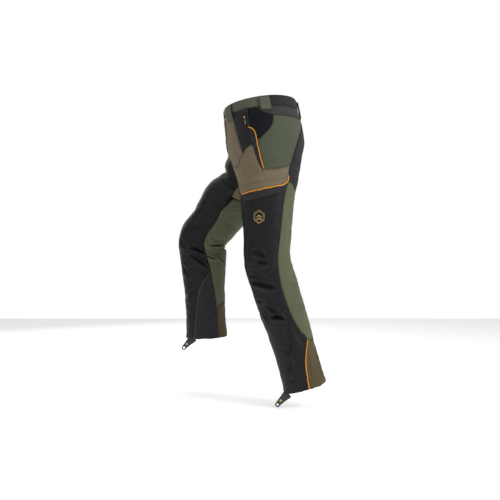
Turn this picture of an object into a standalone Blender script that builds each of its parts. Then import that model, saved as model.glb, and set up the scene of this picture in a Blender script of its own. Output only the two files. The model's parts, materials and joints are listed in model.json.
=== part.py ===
"""Stretch work trousers for forestry, made as separate sewn panels in a walking stance.

Metres, +Z up. The origin is the middle of the waist opening, at the level of the waistband's
top edge at the side. The front faces -Y and the wearer's left is +X.

A leg's surface is described by an angle and a level. The angle goes round the leg: 0 is the
inner side, 90 the front, 180 the outer side and 270 the back. The level goes down it: 0 is the
top of the waistband, 1 the crotch, 2 the knee and 3 the hem. Seams are curves in angle and
level, a panel is the patch between its seams, and the standing leg is then bent at the hip and
the knee into its stance.
"""

import math

import bpy
import numpy as np
from mathutils import Matrix, Vector
from mathutils.geometry import delaunay_2d_cdt

# ---------------------------------------------------------------- driving sizes

RISE = 0.285  # waistband's top edge down to the crotch
KNEE_DROP = 0.590  # waistband's top edge down to the knee
OUTSEAM = 1.071  # waistband's top edge down to the hem

WAIST_HALF_WIDTH = 0.158
WAIST_HALF_DEPTH = 0.137
HIP_HALF_WIDTH = 0.174  # of one leg's section at the hip, from its own centre
THIGH_HALF_WIDTH = 0.087
THIGH_HALF_DEPTH = 0.100
KNEE_HALF_WIDTH = 0.075
KNEE_HALF_DEPTH = 0.086
CALF_HALF_DEPTH = 0.080
HEM_HALF_WIDTH = 0.066
HEM_HALF_DEPTH = 0.074
LEG_CENTRE_X = 0.098  # middle of a leg from the plane of symmetry
LEG_CENTRE_Y = 0.0255

WAISTBAND_HEIGHT = 0.040
FRONT_TILT = 0.143  # rise of the waist toward the back, per metre
TILT_EASE = 0.30  # how much of that rise is lost at the back
TILT_END = 0.63  # the level where the tilt has died away

CLOTH = 0.0022
BAND_CLOTH = 0.0030
SEAM_GAP = 0.0014
CLEARANCE = 0.0008  # between a piece that lies on the cloth and the cloth
PAD_THICKNESS = 0.006
PAD_GAP = 0.0040

LOOP_WIDTH = 0.040
LOOP_STANDOFF = 0.0066
LOOP_STRAP = 0.0018
LOOP_FACETS = 0.0004  # clear of the cloth where it bulges under a loop

BOOT_TAB_LENGTH = 0.058
BOOT_TAB_ROOT = 0.026
BOOT_TAB_TIP = 0.018
BOOT_TAB_THICKNESS = 0.003
BOOT_TAB_HOLE = 0.0045  # radius
BOOT_TAB_SPOT = 98  # the angle round the leg at which it is sewn to the hem
BOOT_TAB_INSET = 0.004  # behind that spot, inside the hem
BOOT_TAB_DROP = 0.003  # its root, under the hem's edge
BOOT_TAB_LEAN = 37  # degrees forward of hanging straight down

SLIDER_WIDTH = 0.007
SLIDER_LENGTH = 0.011
SLIDER_THICKNESS = 0.0026
PULLER_LENGTH = 0.022
PULLER_THICKNESS = 0.0016
PULLER_GAP = 0.0016  # from the slider's end to the puller's pivot
PULLER_LIFT = 0.0006  # of the pivot over the slider's middle
PULLER_HEEL = 0.0004  # of the strap, past its pivot
POCKET_TRAVEL = 0.055
FLY_TRAVEL = 0.10

WAIST_TAB_LENGTH = 0.052
WAIST_TAB_HEIGHT = 0.026
WAIST_TAB_THICKNESS = 0.002
WAIST_TAB_HEEL = 0.0008  # past its hinge line
WAIST_TAB_HINGE = 0.016  # the hinge line, from the plane between the legs

PLACKET_CLOTH = 0.0014
PLACKET_LIFT = 0.0022  # clear of the flat facets of the front panel
PLACKET_EDGE = 0.003  # its two long edges, from the plane between the legs
PLACKET_WIDTH = 0.035
FLY_LINE = 0.0048  # the fly's zip, from the plane between the legs
FLY_TOP = 0.0134  # the closed fly slider's middle, below the waistband's lower edge
SLIDER_LIFT = CLEARANCE + 0.001 + SLIDER_THICKNESS / 2  # clear of the cloth's flat facets all the way
PAD_OFFSET = -(CLOTH + PAD_GAP)

# The stance: angles in degrees, plus swings the lower end backward
HIP_PIVOT = (0.012, -0.2224)  # y and z
HIP_SWING = {"left": 0.0, "right": -35.3}
KNEE_SWING = {"left": 16.0, "right": 37.8}
HIP_SHIFT = {"left": (0.0, 0.0), "right": (-0.030, 0.017)}  # the forward hip leads, y and z
SHIN_GATHER = {"left": 0.0, "right": 0.098}  # cloth that bunches below a bent knee
KNEE_ZONE = 0.17
KNEE_ZONE_ABOVE = 0.08  # the part of that zone that lies above the knee
GATHER_ZONE = 0.22
GATHER_START = 0.01  # above the knee
HIP_ZONE = (0.10, -0.13)  # the way, in x and z, from where the hip's bend starts to where it ends

BAND = WAISTBAND_HEIGHT / RISE  # the waistband's lower edge, as a level

# (level, centre x, half width, centre y, depth to the front, depth to the back)
SECTIONS = (
    (0.00, 0.000, WAIST_HALF_WIDTH, 0.000, WAIST_HALF_DEPTH, WAIST_HALF_DEPTH),
    (0.16, 0.000, WAIST_HALF_WIDTH + 0.009, 0.002, WAIST_HALF_DEPTH - 0.001, WAIST_HALF_DEPTH + 0.007),
    (0.32, 0.000, HIP_HALF_WIDTH + 0.002, 0.008, WAIST_HALF_DEPTH + 0.001, WAIST_HALF_DEPTH + 0.015),
    (0.49, 0.014, HIP_HALF_WIDTH - 0.003, 0.014, WAIST_HALF_DEPTH + 0.003, WAIST_HALF_DEPTH + 0.016),
    (0.70, 0.043, 0.145, 0.016, 0.132, 0.142),
    (0.86, 0.071, 0.115, 0.020, 0.121, 0.128),
    (1.00, 0.0935, 0.0935, 0.024, THIGH_HALF_DEPTH + 0.011, THIGH_HALF_DEPTH + 0.017),
    (1.25, LEG_CENTRE_X, THIGH_HALF_WIDTH, LEG_CENTRE_Y, THIGH_HALF_DEPTH, THIGH_HALF_DEPTH),
    *(
        (level, LEG_CENTRE_X + shift, half_width, LEG_CENTRE_Y, half_depth, half_depth)
        for level, shift, half_width, half_depth in (
            (1.56, 0.001, THIGH_HALF_WIDTH - 0.006, 0.0915),
            (1.85, 0.002, KNEE_HALF_WIDTH + 0.001, KNEE_HALF_DEPTH),
            (2.06, 0.002, KNEE_HALF_WIDTH - 0.001, KNEE_HALF_DEPTH),
            (2.27, 0.003, KNEE_HALF_WIDTH - 0.004, CALF_HALF_DEPTH + 0.005),
            (2.44, 0.004, HEM_HALF_WIDTH + 0.002, CALF_HALF_DEPTH),
            (2.58, 0.005, HEM_HALF_WIDTH, HEM_HALF_DEPTH),
            (2.81, 0.006, HEM_HALF_WIDTH - 0.001, HEM_HALF_DEPTH - 0.0035),
            (3.00, 0.006, HEM_HALF_WIDTH, HEM_HALF_DEPTH),
        )
    ),
)

# ---------------------------------------------------------------- the scene

for old in list(bpy.data.objects):
    bpy.data.objects.remove(old, do_unlink=True)

trousers = bpy.data.collections.new("work_trousers")
bpy.context.scene.collection.children.link(trousers)


# ---------------------------------------------------------------- the leg's surface


def ease(t):
    """0 to 1 with level ends."""
    t = np.clip(t, 0.0, 1.0)
    return t * t * (3.0 - 2.0 * t)


def drop(level):
    """How far below the waistband's top edge a level is."""
    return np.interp(level, (0.0, 1.0, 2.0, 3.0), (0.0, RISE, KNEE_DROP, OUTSEAM))


def section(level):
    """Centre x, half width, centre y, front depth and back depth of a leg at a level."""
    table = np.array(SECTIONS)
    depth = drop(table[:, 0])
    values = table[:, 1:]
    slope = (values[1:] - values[:-1]) / (depth[1:] - depth[:-1])[:, None]
    inner = np.where(slope[1:] * slope[:-1] <= 0.0, 0.0, (slope[1:] + slope[:-1]) / 2.0)
    tangent = np.vstack([slope[:1], inner, slope[-1:]])
    at = np.clip(drop(level), depth[0], depth[-1])
    i = np.clip(np.searchsorted(depth, at) - 1, 0, len(depth) - 2)
    span = (depth[i + 1] - depth[i])[..., None]
    t = (at - depth[i])[..., None] / span
    return (
        (2 * t**3 - 3 * t**2 + 1) * values[i]
        + (t**3 - 2 * t**2 + t) * span * tangent[i]
        + (3 * t**2 - 2 * t**3) * values[i + 1]
        + (t**3 - t**2) * span * tangent[i + 1]
    )


def standing(angle, level):
    """A point of the left leg's surface, with the leg straight down."""
    angle, level = np.broadcast_arrays(np.radians(angle), np.asarray(level, float))
    centre_x, half_width, centre_y, front, back = np.moveaxis(section(level), -1, 0)
    forward = np.sin(angle)
    x = centre_x - half_width * np.cos(angle)
    y = centre_y - np.where(forward > 0, front, back) * forward
    tilt = FRONT_TILT * y - TILT_EASE * np.maximum(y, 0.0) ** 2
    z = -drop(level) + tilt * (1.0 - ease(level / TILT_END))
    return np.stack([x, y, z], axis=-1)


def swing(point, pivot, degrees):
    """Turn points about the X axis through pivot (y, z); plus swings what hangs below backward."""
    turn = np.radians(degrees)
    y = point[..., 1] - pivot[0]
    z = point[..., 2] - pivot[1]
    return np.stack(
        [
            point[..., 0],
            pivot[0] + y * np.cos(turn) - z * np.sin(turn),
            pivot[1] + y * np.sin(turn) + z * np.cos(turn),
        ],
        axis=-1,
    )


def hip_share(point):
    """0 on the pelvis and 1 on the thigh: how far a point follows the thigh."""
    along = point[..., 0] * HIP_ZONE[0] + (point[..., 2] + RISE) * HIP_ZONE[1]
    return ease(along / (HIP_ZONE[0] ** 2 + HIP_ZONE[1] ** 2))


def stance(point, side):
    """Bend the standing left leg at the knee and the hip, and mirror it for the right."""
    hip = hip_share(point)
    depth = -point[..., 2]
    knee = ease((depth - KNEE_DROP + KNEE_ZONE_ABOVE) / KNEE_ZONE)
    gathered = point + 0.0
    gathered[..., 2] += SHIN_GATHER[side] * ease((depth - KNEE_DROP + GATHER_START) / GATHER_ZONE)
    bent = swing(gathered, (LEG_CENTRE_Y, -KNEE_DROP), KNEE_SWING[side] * knee)
    bent = swing(bent, HIP_PIVOT, HIP_SWING[side] * hip)
    bent[..., 1] += HIP_SHIFT[side][0] * hip
    bent[..., 2] += HIP_SHIFT[side][1] * hip
    if side == "right":
        bent[..., 0] *= -1.0
    return bent


def surface(side, angle, level, offset=0.0):
    """A point of a leg in its stance, or offset metres outside it."""
    point = stance(standing(angle, level), side)
    if not np.any(offset):
        return point
    return point + offset * frame(side, angle, level)[2]


def frame(side, angle, level):
    """Unit vectors at a point of the leg: across it toward +angle, up it, and out of it."""
    step = 0.5
    rise = 0.004
    across = stance(standing(np.asarray(angle) + step, level), side) - stance(
        standing(np.asarray(angle) - step, level), side
    )
    up = stance(standing(angle, np.asarray(level) - rise), side) - stance(
        standing(angle, np.asarray(level) + rise), side
    )
    out = np.cross(across, up) * (-1.0 if side == "right" else 1.0)
    out /= np.linalg.norm(out, axis=-1, keepdims=True)
    up = up / np.linalg.norm(up, axis=-1, keepdims=True)
    across = np.cross(up, out) * (-1.0 if side == "right" else 1.0)
    return across, up, out


def middle_angle(level, distance=0.0):
    """The angle at which a leg's section is a distance from the plane between the legs."""
    centre_x, half_width = section(np.asarray(level, float))[..., 0:2].T
    return np.degrees(np.arccos(np.clip((centre_x - distance) / half_width, -1.0, 1.0)))


# ---------------------------------------------------------------- seams

FRONT_HEM_LEVEL = 0.70  # where the front panel ends on the centre seam
GROIN_LEVEL = 0.875
SEAT_LEVEL = 0.825
CROTCH_BACK_LEVEL = 0.885
KNEE_TOP = 1.77
KNEE_END = 2.155

# Seams in (angle, level)
SEAMS = {
    "waist_front": ((90, 0), (193, 0)),
    "waist_back": ((193, 0), (270, 0)),
    "band_join": ((193, 0), (193, BAND)),
    "band_front": ((90, BAND), (193, BAND)),
    "band_back": ((193, BAND), (270, BAND)),
    "front_top": ((90, BAND), (130, BAND)),
    "pocket_top": ((130, BAND), (153, BAND)),
    "zip_top": ((153, BAND), (158, BAND)),
    "pocket_side_top": ((158, BAND), (172, BAND)),
    "yoke_top": ((172, BAND), (270, BAND)),
    "pocket_front_edge": ((130, BAND), (131, 0.275), (136, 0.51), (142, 0.725)),
    "pocket_front_hem": ((142, 0.725), (148, 0.675), (155, 0.64), (161, 0.625)),
    "zip_front_upper": ((153, BAND), (156, 0.395), (158, 0.525), (161, 0.625)),
    "zip_front_lower": ((161, 0.625), (164, 0.76), (167, 0.86), (172, 0.945)),
    "zip_end": ((172, 0.945), (175, 0.935)),
    "zip_back_upper": ((158, BAND), (158, 0.35), (163, 0.42), (168, 0.58)),
    "zip_back_lower": ((168, 0.58), (170, 0.7), (172, 0.825), (175, 0.935)),
    "yoke_side": ((172, BAND), (181, 0.21), (195, 0.26)),
    "yoke_hem": ((195, 0.26), (262, 0.27)),
    "yoke_centre": ((262, 0.27), (270, 0.27)),
    "pocket_side_edge": ((195, 0.26), (192, 0.36), (184, 0.455), (168, 0.58)),
    "front_hem": ((88, 0.72), (104, 0.855), (118, 0.875), (130, 0.81), (142, 0.725)),
    "hip_hem": ((175, 0.935), (195, 0.925), (222, 0.88)),
    "hip_back": ((262, 0.27), (249, 0.37), (234, 0.525), (227, 0.725), (224, SEAT_LEVEL)),
    "hip_back_lower": ((224, SEAT_LEVEL), (222, 0.88)),
    "side_back": ((222, 0.88), (220, 1.0), (221, 1.08)),
    "cargo": ((221, 1.08), (200, 1.13), (162, 1.175), (113, 1.22)),
    "cargo_end": ((113, 1.22), (104, 1.22)),
    "groin_outer": ((88, 0.72), (90, 1.015), (97, 1.165), (104, 1.22)),
    "groin_hem": ((104, 1.22), (42, 1.225)),
    "vent_end": ((113, 1.22), (116, 1.295)),
    "vent_hem": ((116, 1.295), (138, 1.3), (172, 1.265), (218, 1.185)),
    "vent_back": ((221, 1.08), (218, 1.185)),
    "thigh_outer": ((218, 1.185), (216, 1.295), (213, 1.475), (209, KNEE_TOP)),
    "knee_outer": ((209, KNEE_TOP), (204, 2.015), (196, KNEE_END)),
    "shin_outer": ((196, KNEE_END), (194, 2.23), (197, 2.385), (208, 2.54), (227, 2.64)),
    "calf_edge": ((227, 2.64), (211, 2.735), (199, 2.84), (192, 3)),
    "thigh_inner_upper": ((42, 1.225), (30, 1.345)),
    "thigh_inner": ((30, 1.345), (14, 1.495), (2, 1.635), (-1, KNEE_TOP)),
    "knee_inner": ((-1, KNEE_TOP), (-4, 1.965), (-6, KNEE_END)),
    "shin_inner": ((-6, KNEE_END), (-9, 2.31), (-19, 2.47)),
    "gusset_front": ((-19, 2.47), (1, 2.53), (17, 2.605), (28, 2.74), (39, 3)),
    "gusset_back": ((-19, 2.47), (-28, 2.605), (-36, 2.75)),
    "gusset_edge": ((-36, 2.75), (-36, 3)),
    "calf_hem": ((227, 2.64), (266, 2.68), (295, 2.715), (324, 2.75)),
    "seat_hem": ((221, 1.08), (233, 1.09), (250, 1.15), (280, 1.195), (300, 1.245)),
    "inner_thigh_hem": ((300, 1.245), (330, 1.325), (370, 1.34), (390, 1.345)),
    "knee_top_front": ((-1, KNEE_TOP), (209, KNEE_TOP)),
    "knee_top_back": ((209, KNEE_TOP), (359, KNEE_TOP)),
    "knee_end_front": ((-6, KNEE_END), (196, KNEE_END)),
    "knee_end_back": ((196, KNEE_END), (354, KNEE_END)),
    "hem_shin": ((39, 3), (192, 3)),
    "hem_gusset": ((-36, 3), (39, 3)),
    "hem_calf": ((192, 3), (324, 3)),
}

SEAM_STEP = 0.026  # spacing of the points that two panels share along a seam
ANGLE_TO_LENGTH = math.radians(1.0) * 0.1  # one degree on a leg of mean size


def flatten(angle, level):
    """A seam point as a length round the leg and a height."""
    return np.stack([np.asarray(angle) * ANGLE_TO_LENGTH, -drop(level)], axis=-1)


def seam_points(points):
    """Points along a smooth curve through a seam's own points."""
    points = np.array(points, float)
    if len(points) == 2:
        reach = np.linalg.norm(np.diff(flatten(points[:, 0], points[:, 1]), axis=0))
        t = np.linspace(0.0, 1.0, max(1, round(reach / SEAM_STEP)) + 1)[:, None]
        return points[0] * (1 - t) + points[1] * t
    padded = np.vstack([2 * points[0] - points[1], points, 2 * points[-1] - points[-2]])
    curve = [points[0]]
    for a, b, c, d in zip(padded, padded[1:], padded[2:], padded[3:]):
        reach = np.linalg.norm(np.diff(flatten(*np.array([b, c]).T), axis=0))
        steps = max(1, round(reach / SEAM_STEP))
        for t in np.arange(1, steps + 1) / steps:
            square = (2 * a - 5 * b + 4 * c - d) * t**2
            cube = (3 * b - a - 3 * c + d) * t**3
            curve.append(0.5 * (2 * b + (c - a) * t + square + cube))
    return np.array(curve)


def middle_seam(start, end, back=False):
    """The seam between the two legs, from one level to another."""
    steps = max(2, round(abs(drop(end) - drop(start)) / SEAM_STEP))
    level = start + (end - start) * np.arange(steps + 1) / steps
    if 1.0 in (start, end):
        other = start + end - 1.0
        level = 1.0 + (other - 1.0) * np.linspace(0, 1, steps + 2) ** 2
        level = level if start == 1.0 else level[::-1]
    angle = middle_angle(level)
    return np.stack([360.0 - angle if back else angle, level], axis=-1)


SEAM = {name: seam_points(points) for name, points in SEAMS.items()}
SEAM["middle_front"] = middle_seam(BAND, FRONT_HEM_LEVEL)
SEAM["middle_groin"] = middle_seam(FRONT_HEM_LEVEL, GROIN_LEVEL)
SEAM["middle_crotch"] = middle_seam(GROIN_LEVEL, 1.0)
SEAM["middle_crotch_back"] = middle_seam(1.0, CROTCH_BACK_LEVEL, back=True)
SEAM["middle_under_seat"] = middle_seam(CROTCH_BACK_LEVEL, SEAT_LEVEL, back=True)
SEAM["middle_seat"] = middle_seam(SEAT_LEVEL, 0.27, back=True)
SEAM["middle_yoke"] = middle_seam(0.27, BAND, back=True)
SEAM["middle_band_back"] = middle_seam(BAND, 0.0, back=True)
SEAM["middle_band_front"] = middle_seam(0.0, BAND)
SEAM["front_hem_middle"] = seam_points((SEAM["middle_front"][-1], (88, 0.72)))
SEAM["groin_inner"] = seam_points(((42, 1.225), (46, 1.05), SEAM["middle_groin"][-1]))
SEAM["inner_thigh_back"] = seam_points(((300, 1.245), (304, 1.05), SEAM["middle_crotch_back"][-1]))
SEAM["under_seat_top"] = seam_points(((224, SEAT_LEVEL), SEAM["middle_seat"][0]))


def outline(names):
    """A closed outline from seams that follow one another, each turned the right way round."""

    def same(p, q):
        return abs((p[0] - q[0] + 180) % 360 - 180) < 0.01 and abs(p[1] - q[1]) < 0.001

    chain = SEAM[names[0]]
    if not any(same(chain[-1], end) for end in (SEAM[names[1]][0], SEAM[names[1]][-1])):
        chain = chain[::-1]
    for name in names[1:]:
        piece = SEAM[name]
        if not same(chain[-1], piece[0]):
            piece = piece[::-1]
        if not same(chain[-1], piece[0]):
            raise ValueError(f"seam {name} does not follow on")
        turns = round((chain[-1][0] - piece[0][0]) / 360.0)
        chain = np.vstack([chain, piece[1:] + (360.0 * turns, 0.0)])
    return chain[:-1]


# ---------------------------------------------------------------- panels

GRID_ANGLE = 15.0
GRID_HEIGHT = 0.034
GRID_MARGIN = 0.4 * SEAM_STEP  # no grid point lies nearer a seam


def filled(points):
    """Triangles that fill an outline in angle and level, with a regular grid of points inside."""
    flat = flatten(points[:, 0], points[:, 1])
    edge = np.roll(flat, -1, axis=0) - flat
    low, high = points.min(axis=0), points.max(axis=0)
    angles = np.arange(math.ceil(low[0] / GRID_ANGLE), high[0] / GRID_ANGLE) * GRID_ANGLE
    rows = np.arange(math.ceil(drop(low[1]) / GRID_HEIGHT), drop(high[1]) / GRID_HEIGHT)
    drops = rows * GRID_HEIGHT
    levels = np.interp(drops, (0.0, RISE, KNEE_DROP, OUTSEAM), (0.0, 1.0, 2.0, 3.0))
    inside = []
    for angle in angles:
        for level in levels:
            place = flatten(angle, level)
            along = np.clip(((place - flat) * edge).sum(1) / (edge**2).sum(1), 0, 1)
            near = np.linalg.norm(flat + edge * along[:, None] - place, axis=1).min()
            crossing = (flat[:, 1] > place[1]) != (np.roll(flat[:, 1], -1) > place[1])
            run = flat[:, 0] + edge[:, 0] * (place[1] - flat[:, 1]) / np.where(crossing, edge[:, 1], 1.0)
            if np.count_nonzero(crossing & (run > place[0])) % 2 and near > GRID_MARGIN:
                inside.append((angle, level))
    spots = np.vstack([points, np.array(inside).reshape(-1, 2)])
    count = len(points)
    ring = [(i, (i + 1) % count) for i in range(count)]
    flat = flatten(spots[:, 0], spots[:, 1])
    triangles = delaunay_2d_cdt([Vector(p) for p in flat], ring, [], 1, 1e-7)[2]
    return spots, [tuple(t) for t in triangles]


def colour_of(name, colour, roughness, metallic=0.0):
    """A plain material for one piece."""
    material = bpy.data.materials.new(name)
    material.use_nodes = True
    shader = material.node_tree.nodes["Principled BSDF"]
    shader.inputs["Base Color"].default_value = (*colour, 1.0)
    shader.inputs["Roughness"].default_value = roughness
    shader.inputs["Metallic"].default_value = metallic
    return material


def add(name, data, parent, look):
    """Put a mesh or curve, given in world coordinates, under the empty of its joint."""
    piece = bpy.data.objects.new(name, data)
    trousers.objects.link(piece)
    data.materials.append(colour_of(name, *look))
    if parent is not None:
        data.transform(Matrix.Translation(-Vector(parent["pivot"])))
        piece.parent = parent
    return piece


def patch(name, side, points, parent, look, thickness=CLOTH, offset=0.0, mirrored=False):
    """A panel of cloth: the patch inside an outline, drawn in from its seams and given thickness."""
    spots, triangles = filled(points)
    place = surface(side, spots[:, 0], spots[:, 1], offset)
    out = frame(side, spots[:, 0], spots[:, 1])[2]
    count = len(points)
    rim = place[:count]
    flat = flatten(points[:, 0], points[:, 1])
    area = (flat[:, 0] * np.roll(flat[:, 1], -1) - np.roll(flat[:, 0], -1) * flat[:, 1]).sum()
    turn = math.copysign(1.0, area) * (-1.0 if side == "right" else 1.0)
    before = rim - np.roll(rim, 1, axis=0)
    after = np.roll(rim, -1, axis=0) - rim
    before /= np.linalg.norm(before, axis=1, keepdims=True)
    after /= np.linalg.norm(after, axis=1, keepdims=True)
    inward = np.cross(out[:count], before) + np.cross(out[:count], after)
    spread = (inward**2).sum(1, keepdims=True)
    shift = turn * SEAM_GAP * inward / np.maximum(spread, 0.6)
    middle = np.abs(rim[:, 0]) < 1e-6
    place[:count] += shift
    if mirrored:
        place[:count][middle, 0] = 0.0
    mesh = bpy.data.meshes.new(name)
    mesh.from_pydata(place.tolist(), [], triangles)
    if side == "right":
        mesh.flip_normals()
    mesh.shade_smooth()
    piece = add(name, mesh, parent, look)
    if mirrored:
        mirror = piece.modifiers.new("other half", "MIRROR")
        mirror.merge_threshold = 0.0001
    cloth = piece.modifiers.new("cloth", "SOLIDIFY")
    cloth.thickness = thickness
    cloth.offset = -1.0
    cloth.use_even_offset = True
    return piece


def rounded(points, radius, steps=4):
    """The corners of a closed outline, each replaced by an arc."""
    points = [Vector(p) for p in points]
    result = []
    for i, corner in enumerate(points):
        back = (points[i - 1] - corner).normalized()
        on = (points[(i + 1) % len(points)] - corner).normalized()
        half = back.angle(on) / 2
        centre = corner + (back + on).normalized() * radius / math.sin(half)
        first = corner + back * radius / math.tan(half) - centre
        last = corner + on * radius / math.tan(half) - centre
        sweep = first.angle_signed(last)
        for step in range(steps + 1):
            result.append(centre + Matrix.Rotation(-sweep * step / steps, 2) @ first)
    return result


def plate(name, outlines, thickness, place, parent, look):
    """A flat outline, with any holes, of one thickness, its middle plane on place's XY plane."""
    curve = bpy.data.curves.new(name, "CURVE")
    curve.dimensions = "2D"
    curve.fill_mode = "BOTH"
    curve.extrude = thickness / 2
    for points in outlines:
        spline = curve.splines.new("POLY")
        spline.points.add(len(points) - 1)
        for spot, point in zip(spline.points, points):
            spot.co = (point[0], point[1], 0.0, 1.0)
        spline.use_cyclic_u = True
    piece = bpy.data.objects.new(name, curve)
    trousers.objects.link(piece)
    curve.materials.append(colour_of(name, *look))
    if parent is not None:
        piece.parent = parent
        place = Matrix.Translation(-Vector(parent["pivot"])) @ place
    piece.matrix_local = place
    return piece


def axes(origin, x, y):
    """A placement from an origin and two directions."""
    x = Vector(x).normalized()
    z = x.cross(Vector(y)).normalized()
    y = z.cross(x)
    place = Matrix((x, y, z)).transposed().to_4x4()
    place.translation = Vector(origin)
    return place


def joint(name, pivot, parent=None):
    """An empty on a joint's axis, with the place of its axis kept on it."""
    empty = bpy.data.objects.new(name, None)
    empty.empty_display_size = 0.04
    trousers.objects.link(empty)
    empty["pivot"] = tuple(float(v) for v in pivot)
    empty.location = pivot
    if parent is not None:
        empty.parent = parent
        empty.location = Vector(pivot) - Vector(parent["pivot"])
    return empty


# ---------------------------------------------------------------- colours

BROWN = ((0.105, 0.092, 0.067), 0.9)
CALF_BROWN = ((0.135, 0.107, 0.06), 0.9)
HIP_GREEN = ((0.067, 0.078, 0.053), 0.9)
LEG_GREEN = ((0.2, 0.21, 0.135), 0.9)
WAIST_GREEN = ((0.088, 0.1, 0.067), 0.9)
BLACK = ((0.014, 0.014, 0.017), 0.85)
SHELL_BLACK = ((0.018, 0.018, 0.021), 0.7)
NAVY_MESH = ((0.025, 0.026, 0.03), 0.95)
YOKE_GREY = ((0.038, 0.038, 0.036), 0.95)
PAD_WHITE = ((0.6, 0.6, 0.56), 0.95)
RUBBER = ((0.04, 0.04, 0.043), 0.6)
COPPER = ((0.45, 0.2, 0.11), 0.35, 1.0)
OLIVE = ((0.1, 0.11, 0.06), 0.7)

# ---------------------------------------------------------------- waistband, yoke and closure

for side in ("left", "right"):
    patch(
        f"waistband_front_{side}",
        side,
        outline(["waist_front", "band_join", "band_front", "middle_band_front"]),
        None,
        WAIST_GREEN,
        thickness=BAND_CLOTH,
    )
patch(
    "waistband_back",
    "left",
    outline(["waist_back", "middle_band_back", "band_back", "band_join"]),
    None,
    BLACK,
    thickness=BAND_CLOTH,
    mirrored=True,
)
patch(
    "back_yoke",
    "left",
    outline(["yoke_top", "middle_yoke", "yoke_centre", "yoke_hem", "yoke_side"]),
    None,
    YOKE_GREY,
    mirrored=True,
)

# Belt loops are straps that stand off the waistband: (angle, top and bottom below the band's top)
LOOPS = {"front": (122, 0.005, 0.072), "side": (185, 0.008, 0.054), "back": (270, 0.004, 0.066)}


def belt_loop(name, side, angle, top, bottom):
    """A strap across the waistband, standing off it between its two sewn ends."""
    high = Vector(surface(side, angle, top / RISE))
    low = Vector(surface(side, angle, bottom / RISE))
    out = Vector(frame(side, angle, (top + bottom) / 2 / RISE)[2])
    half = (high - low).length / 2
    under = surface(side, angle, np.linspace(top, bottom, 9) / RISE) - np.array(high + low) / 2
    foot = max(CLEARANCE, float((under @ np.array(out)).max()) + LOOP_FACETS)
    inner = foot + LOOP_STANDOFF
    outer = inner + LOOP_STRAP
    bracket = [
        (foot, half),
        (outer, half),
        (outer, -half),
        (foot, -half),
        (foot, -half + LOOP_STRAP),
        (inner, -half + LOOP_STRAP),
        (inner, half - LOOP_STRAP),
        (foot, half - LOOP_STRAP),
    ]
    plate(name, [bracket], LOOP_WIDTH, axes((high + low) / 2, out, high - low), None, WAIST_GREEN)


for side in ("left", "right"):
    for spot in ("front", "side"):
        belt_loop(f"belt_loop_{spot}_{side}", side, *LOOPS[spot])
belt_loop("belt_loop_back", "left", *LOOPS["back"])

# The closure tab swings about a vertical line near the band's left end and covers the opening
tab_level = (WAISTBAND_HEIGHT / 2) / RISE
across, up, out = (Vector(v) for v in frame("left", 90, tab_level))
tab_pivot = Vector(surface("left", 90, tab_level)) + WAIST_TAB_HINGE * across
tab_pivot += (CLEARANCE + WAIST_TAB_THICKNESS / 2) * out
waist_tab_joint = joint("waist_tab_joint", tab_pivot)
tab_outline = rounded(
    [
        (WAIST_TAB_HEEL, -WAIST_TAB_HEIGHT / 2),
        (WAIST_TAB_HEEL, WAIST_TAB_HEIGHT / 2),
        (-WAIST_TAB_LENGTH, WAIST_TAB_HEIGHT / 2),
        (-WAIST_TAB_LENGTH, -WAIST_TAB_HEIGHT / 2),
    ],
    radius=0.0025,
)
tab_place = axes(tab_pivot, across, up)
plate("waist_tab", [tab_outline], WAIST_TAB_THICKNESS, tab_place, waist_tab_joint, WAIST_GREEN)

# The fly: a placket over the left front, and a slider beside it
placket_levels = np.linspace(BAND + 0.03, 0.66, 7)
placket_edge, placket_side = (
    np.stack([middle_angle(placket_levels, distance), placket_levels], axis=-1)
    for distance in (PLACKET_EDGE, PLACKET_EDGE + PLACKET_WIDTH)
)
patch(
    "fly_placket",
    "left",
    np.vstack([placket_edge, placket_side[-2::-1]]),
    None,
    BROWN,
    thickness=PLACKET_CLOTH,
    offset=PLACKET_LIFT + PLACKET_CLOTH,
)


def slider(name, place, parent, look):
    """A zip slider: a small block with rounded ends, standing CLEARANCE off the cloth."""
    half = SLIDER_WIDTH / 2
    reach = SLIDER_LENGTH / 2
    body = rounded([(-half, -reach), (-half, reach), (half, reach), (half, -reach)], radius=0.0018)
    return plate(name, [body], SLIDER_THICKNESS, place, parent, look)


def slide_line(side, high, middle, low):
    """A place over the middle spot, and the ways down and out, of a straight line along the cloth.

    The line clears whatever of the cloth bulges past the middle spot, a little beyond both ends.
    """
    down = Vector(surface(side, *low)) - Vector(surface(side, *high))
    across, up, out = (Vector(v) for v in frame(side, *middle))
    down = (down - down.dot(out) * out).normalized()
    share = np.linspace(-0.2, 1.6, 13)
    under = surface(side, *(a + (b - a) * share for a, b in zip(high, low)))
    bulge = float(((under - surface(side, *middle)) @ np.array(out)).max())
    lift = SLIDER_LIFT + max(0.0, bulge)
    return Vector(surface(side, *middle)) + lift * out, down, out


fly_ends = [(float(middle_angle(level, FLY_LINE)), level) for level in (0.19, 0.395, 0.60)]
fly_middle, fly_down, fly_out = slide_line("right", *fly_ends)
fly_top_level = (WAISTBAND_HEIGHT + FLY_TOP) / RISE
fly_top = Vector(surface("right", middle_angle(fly_top_level, FLY_LINE), fly_top_level))
fly_start = fly_middle + fly_down * (fly_top - fly_middle).dot(fly_down)
fly_joint = joint("fly_slider_joint", fly_start)
slider("fly_slider", axes(fly_start, fly_down.cross(fly_out), -fly_down), fly_joint, COPPER)

# ---------------------------------------------------------------- pelvis panels

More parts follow.
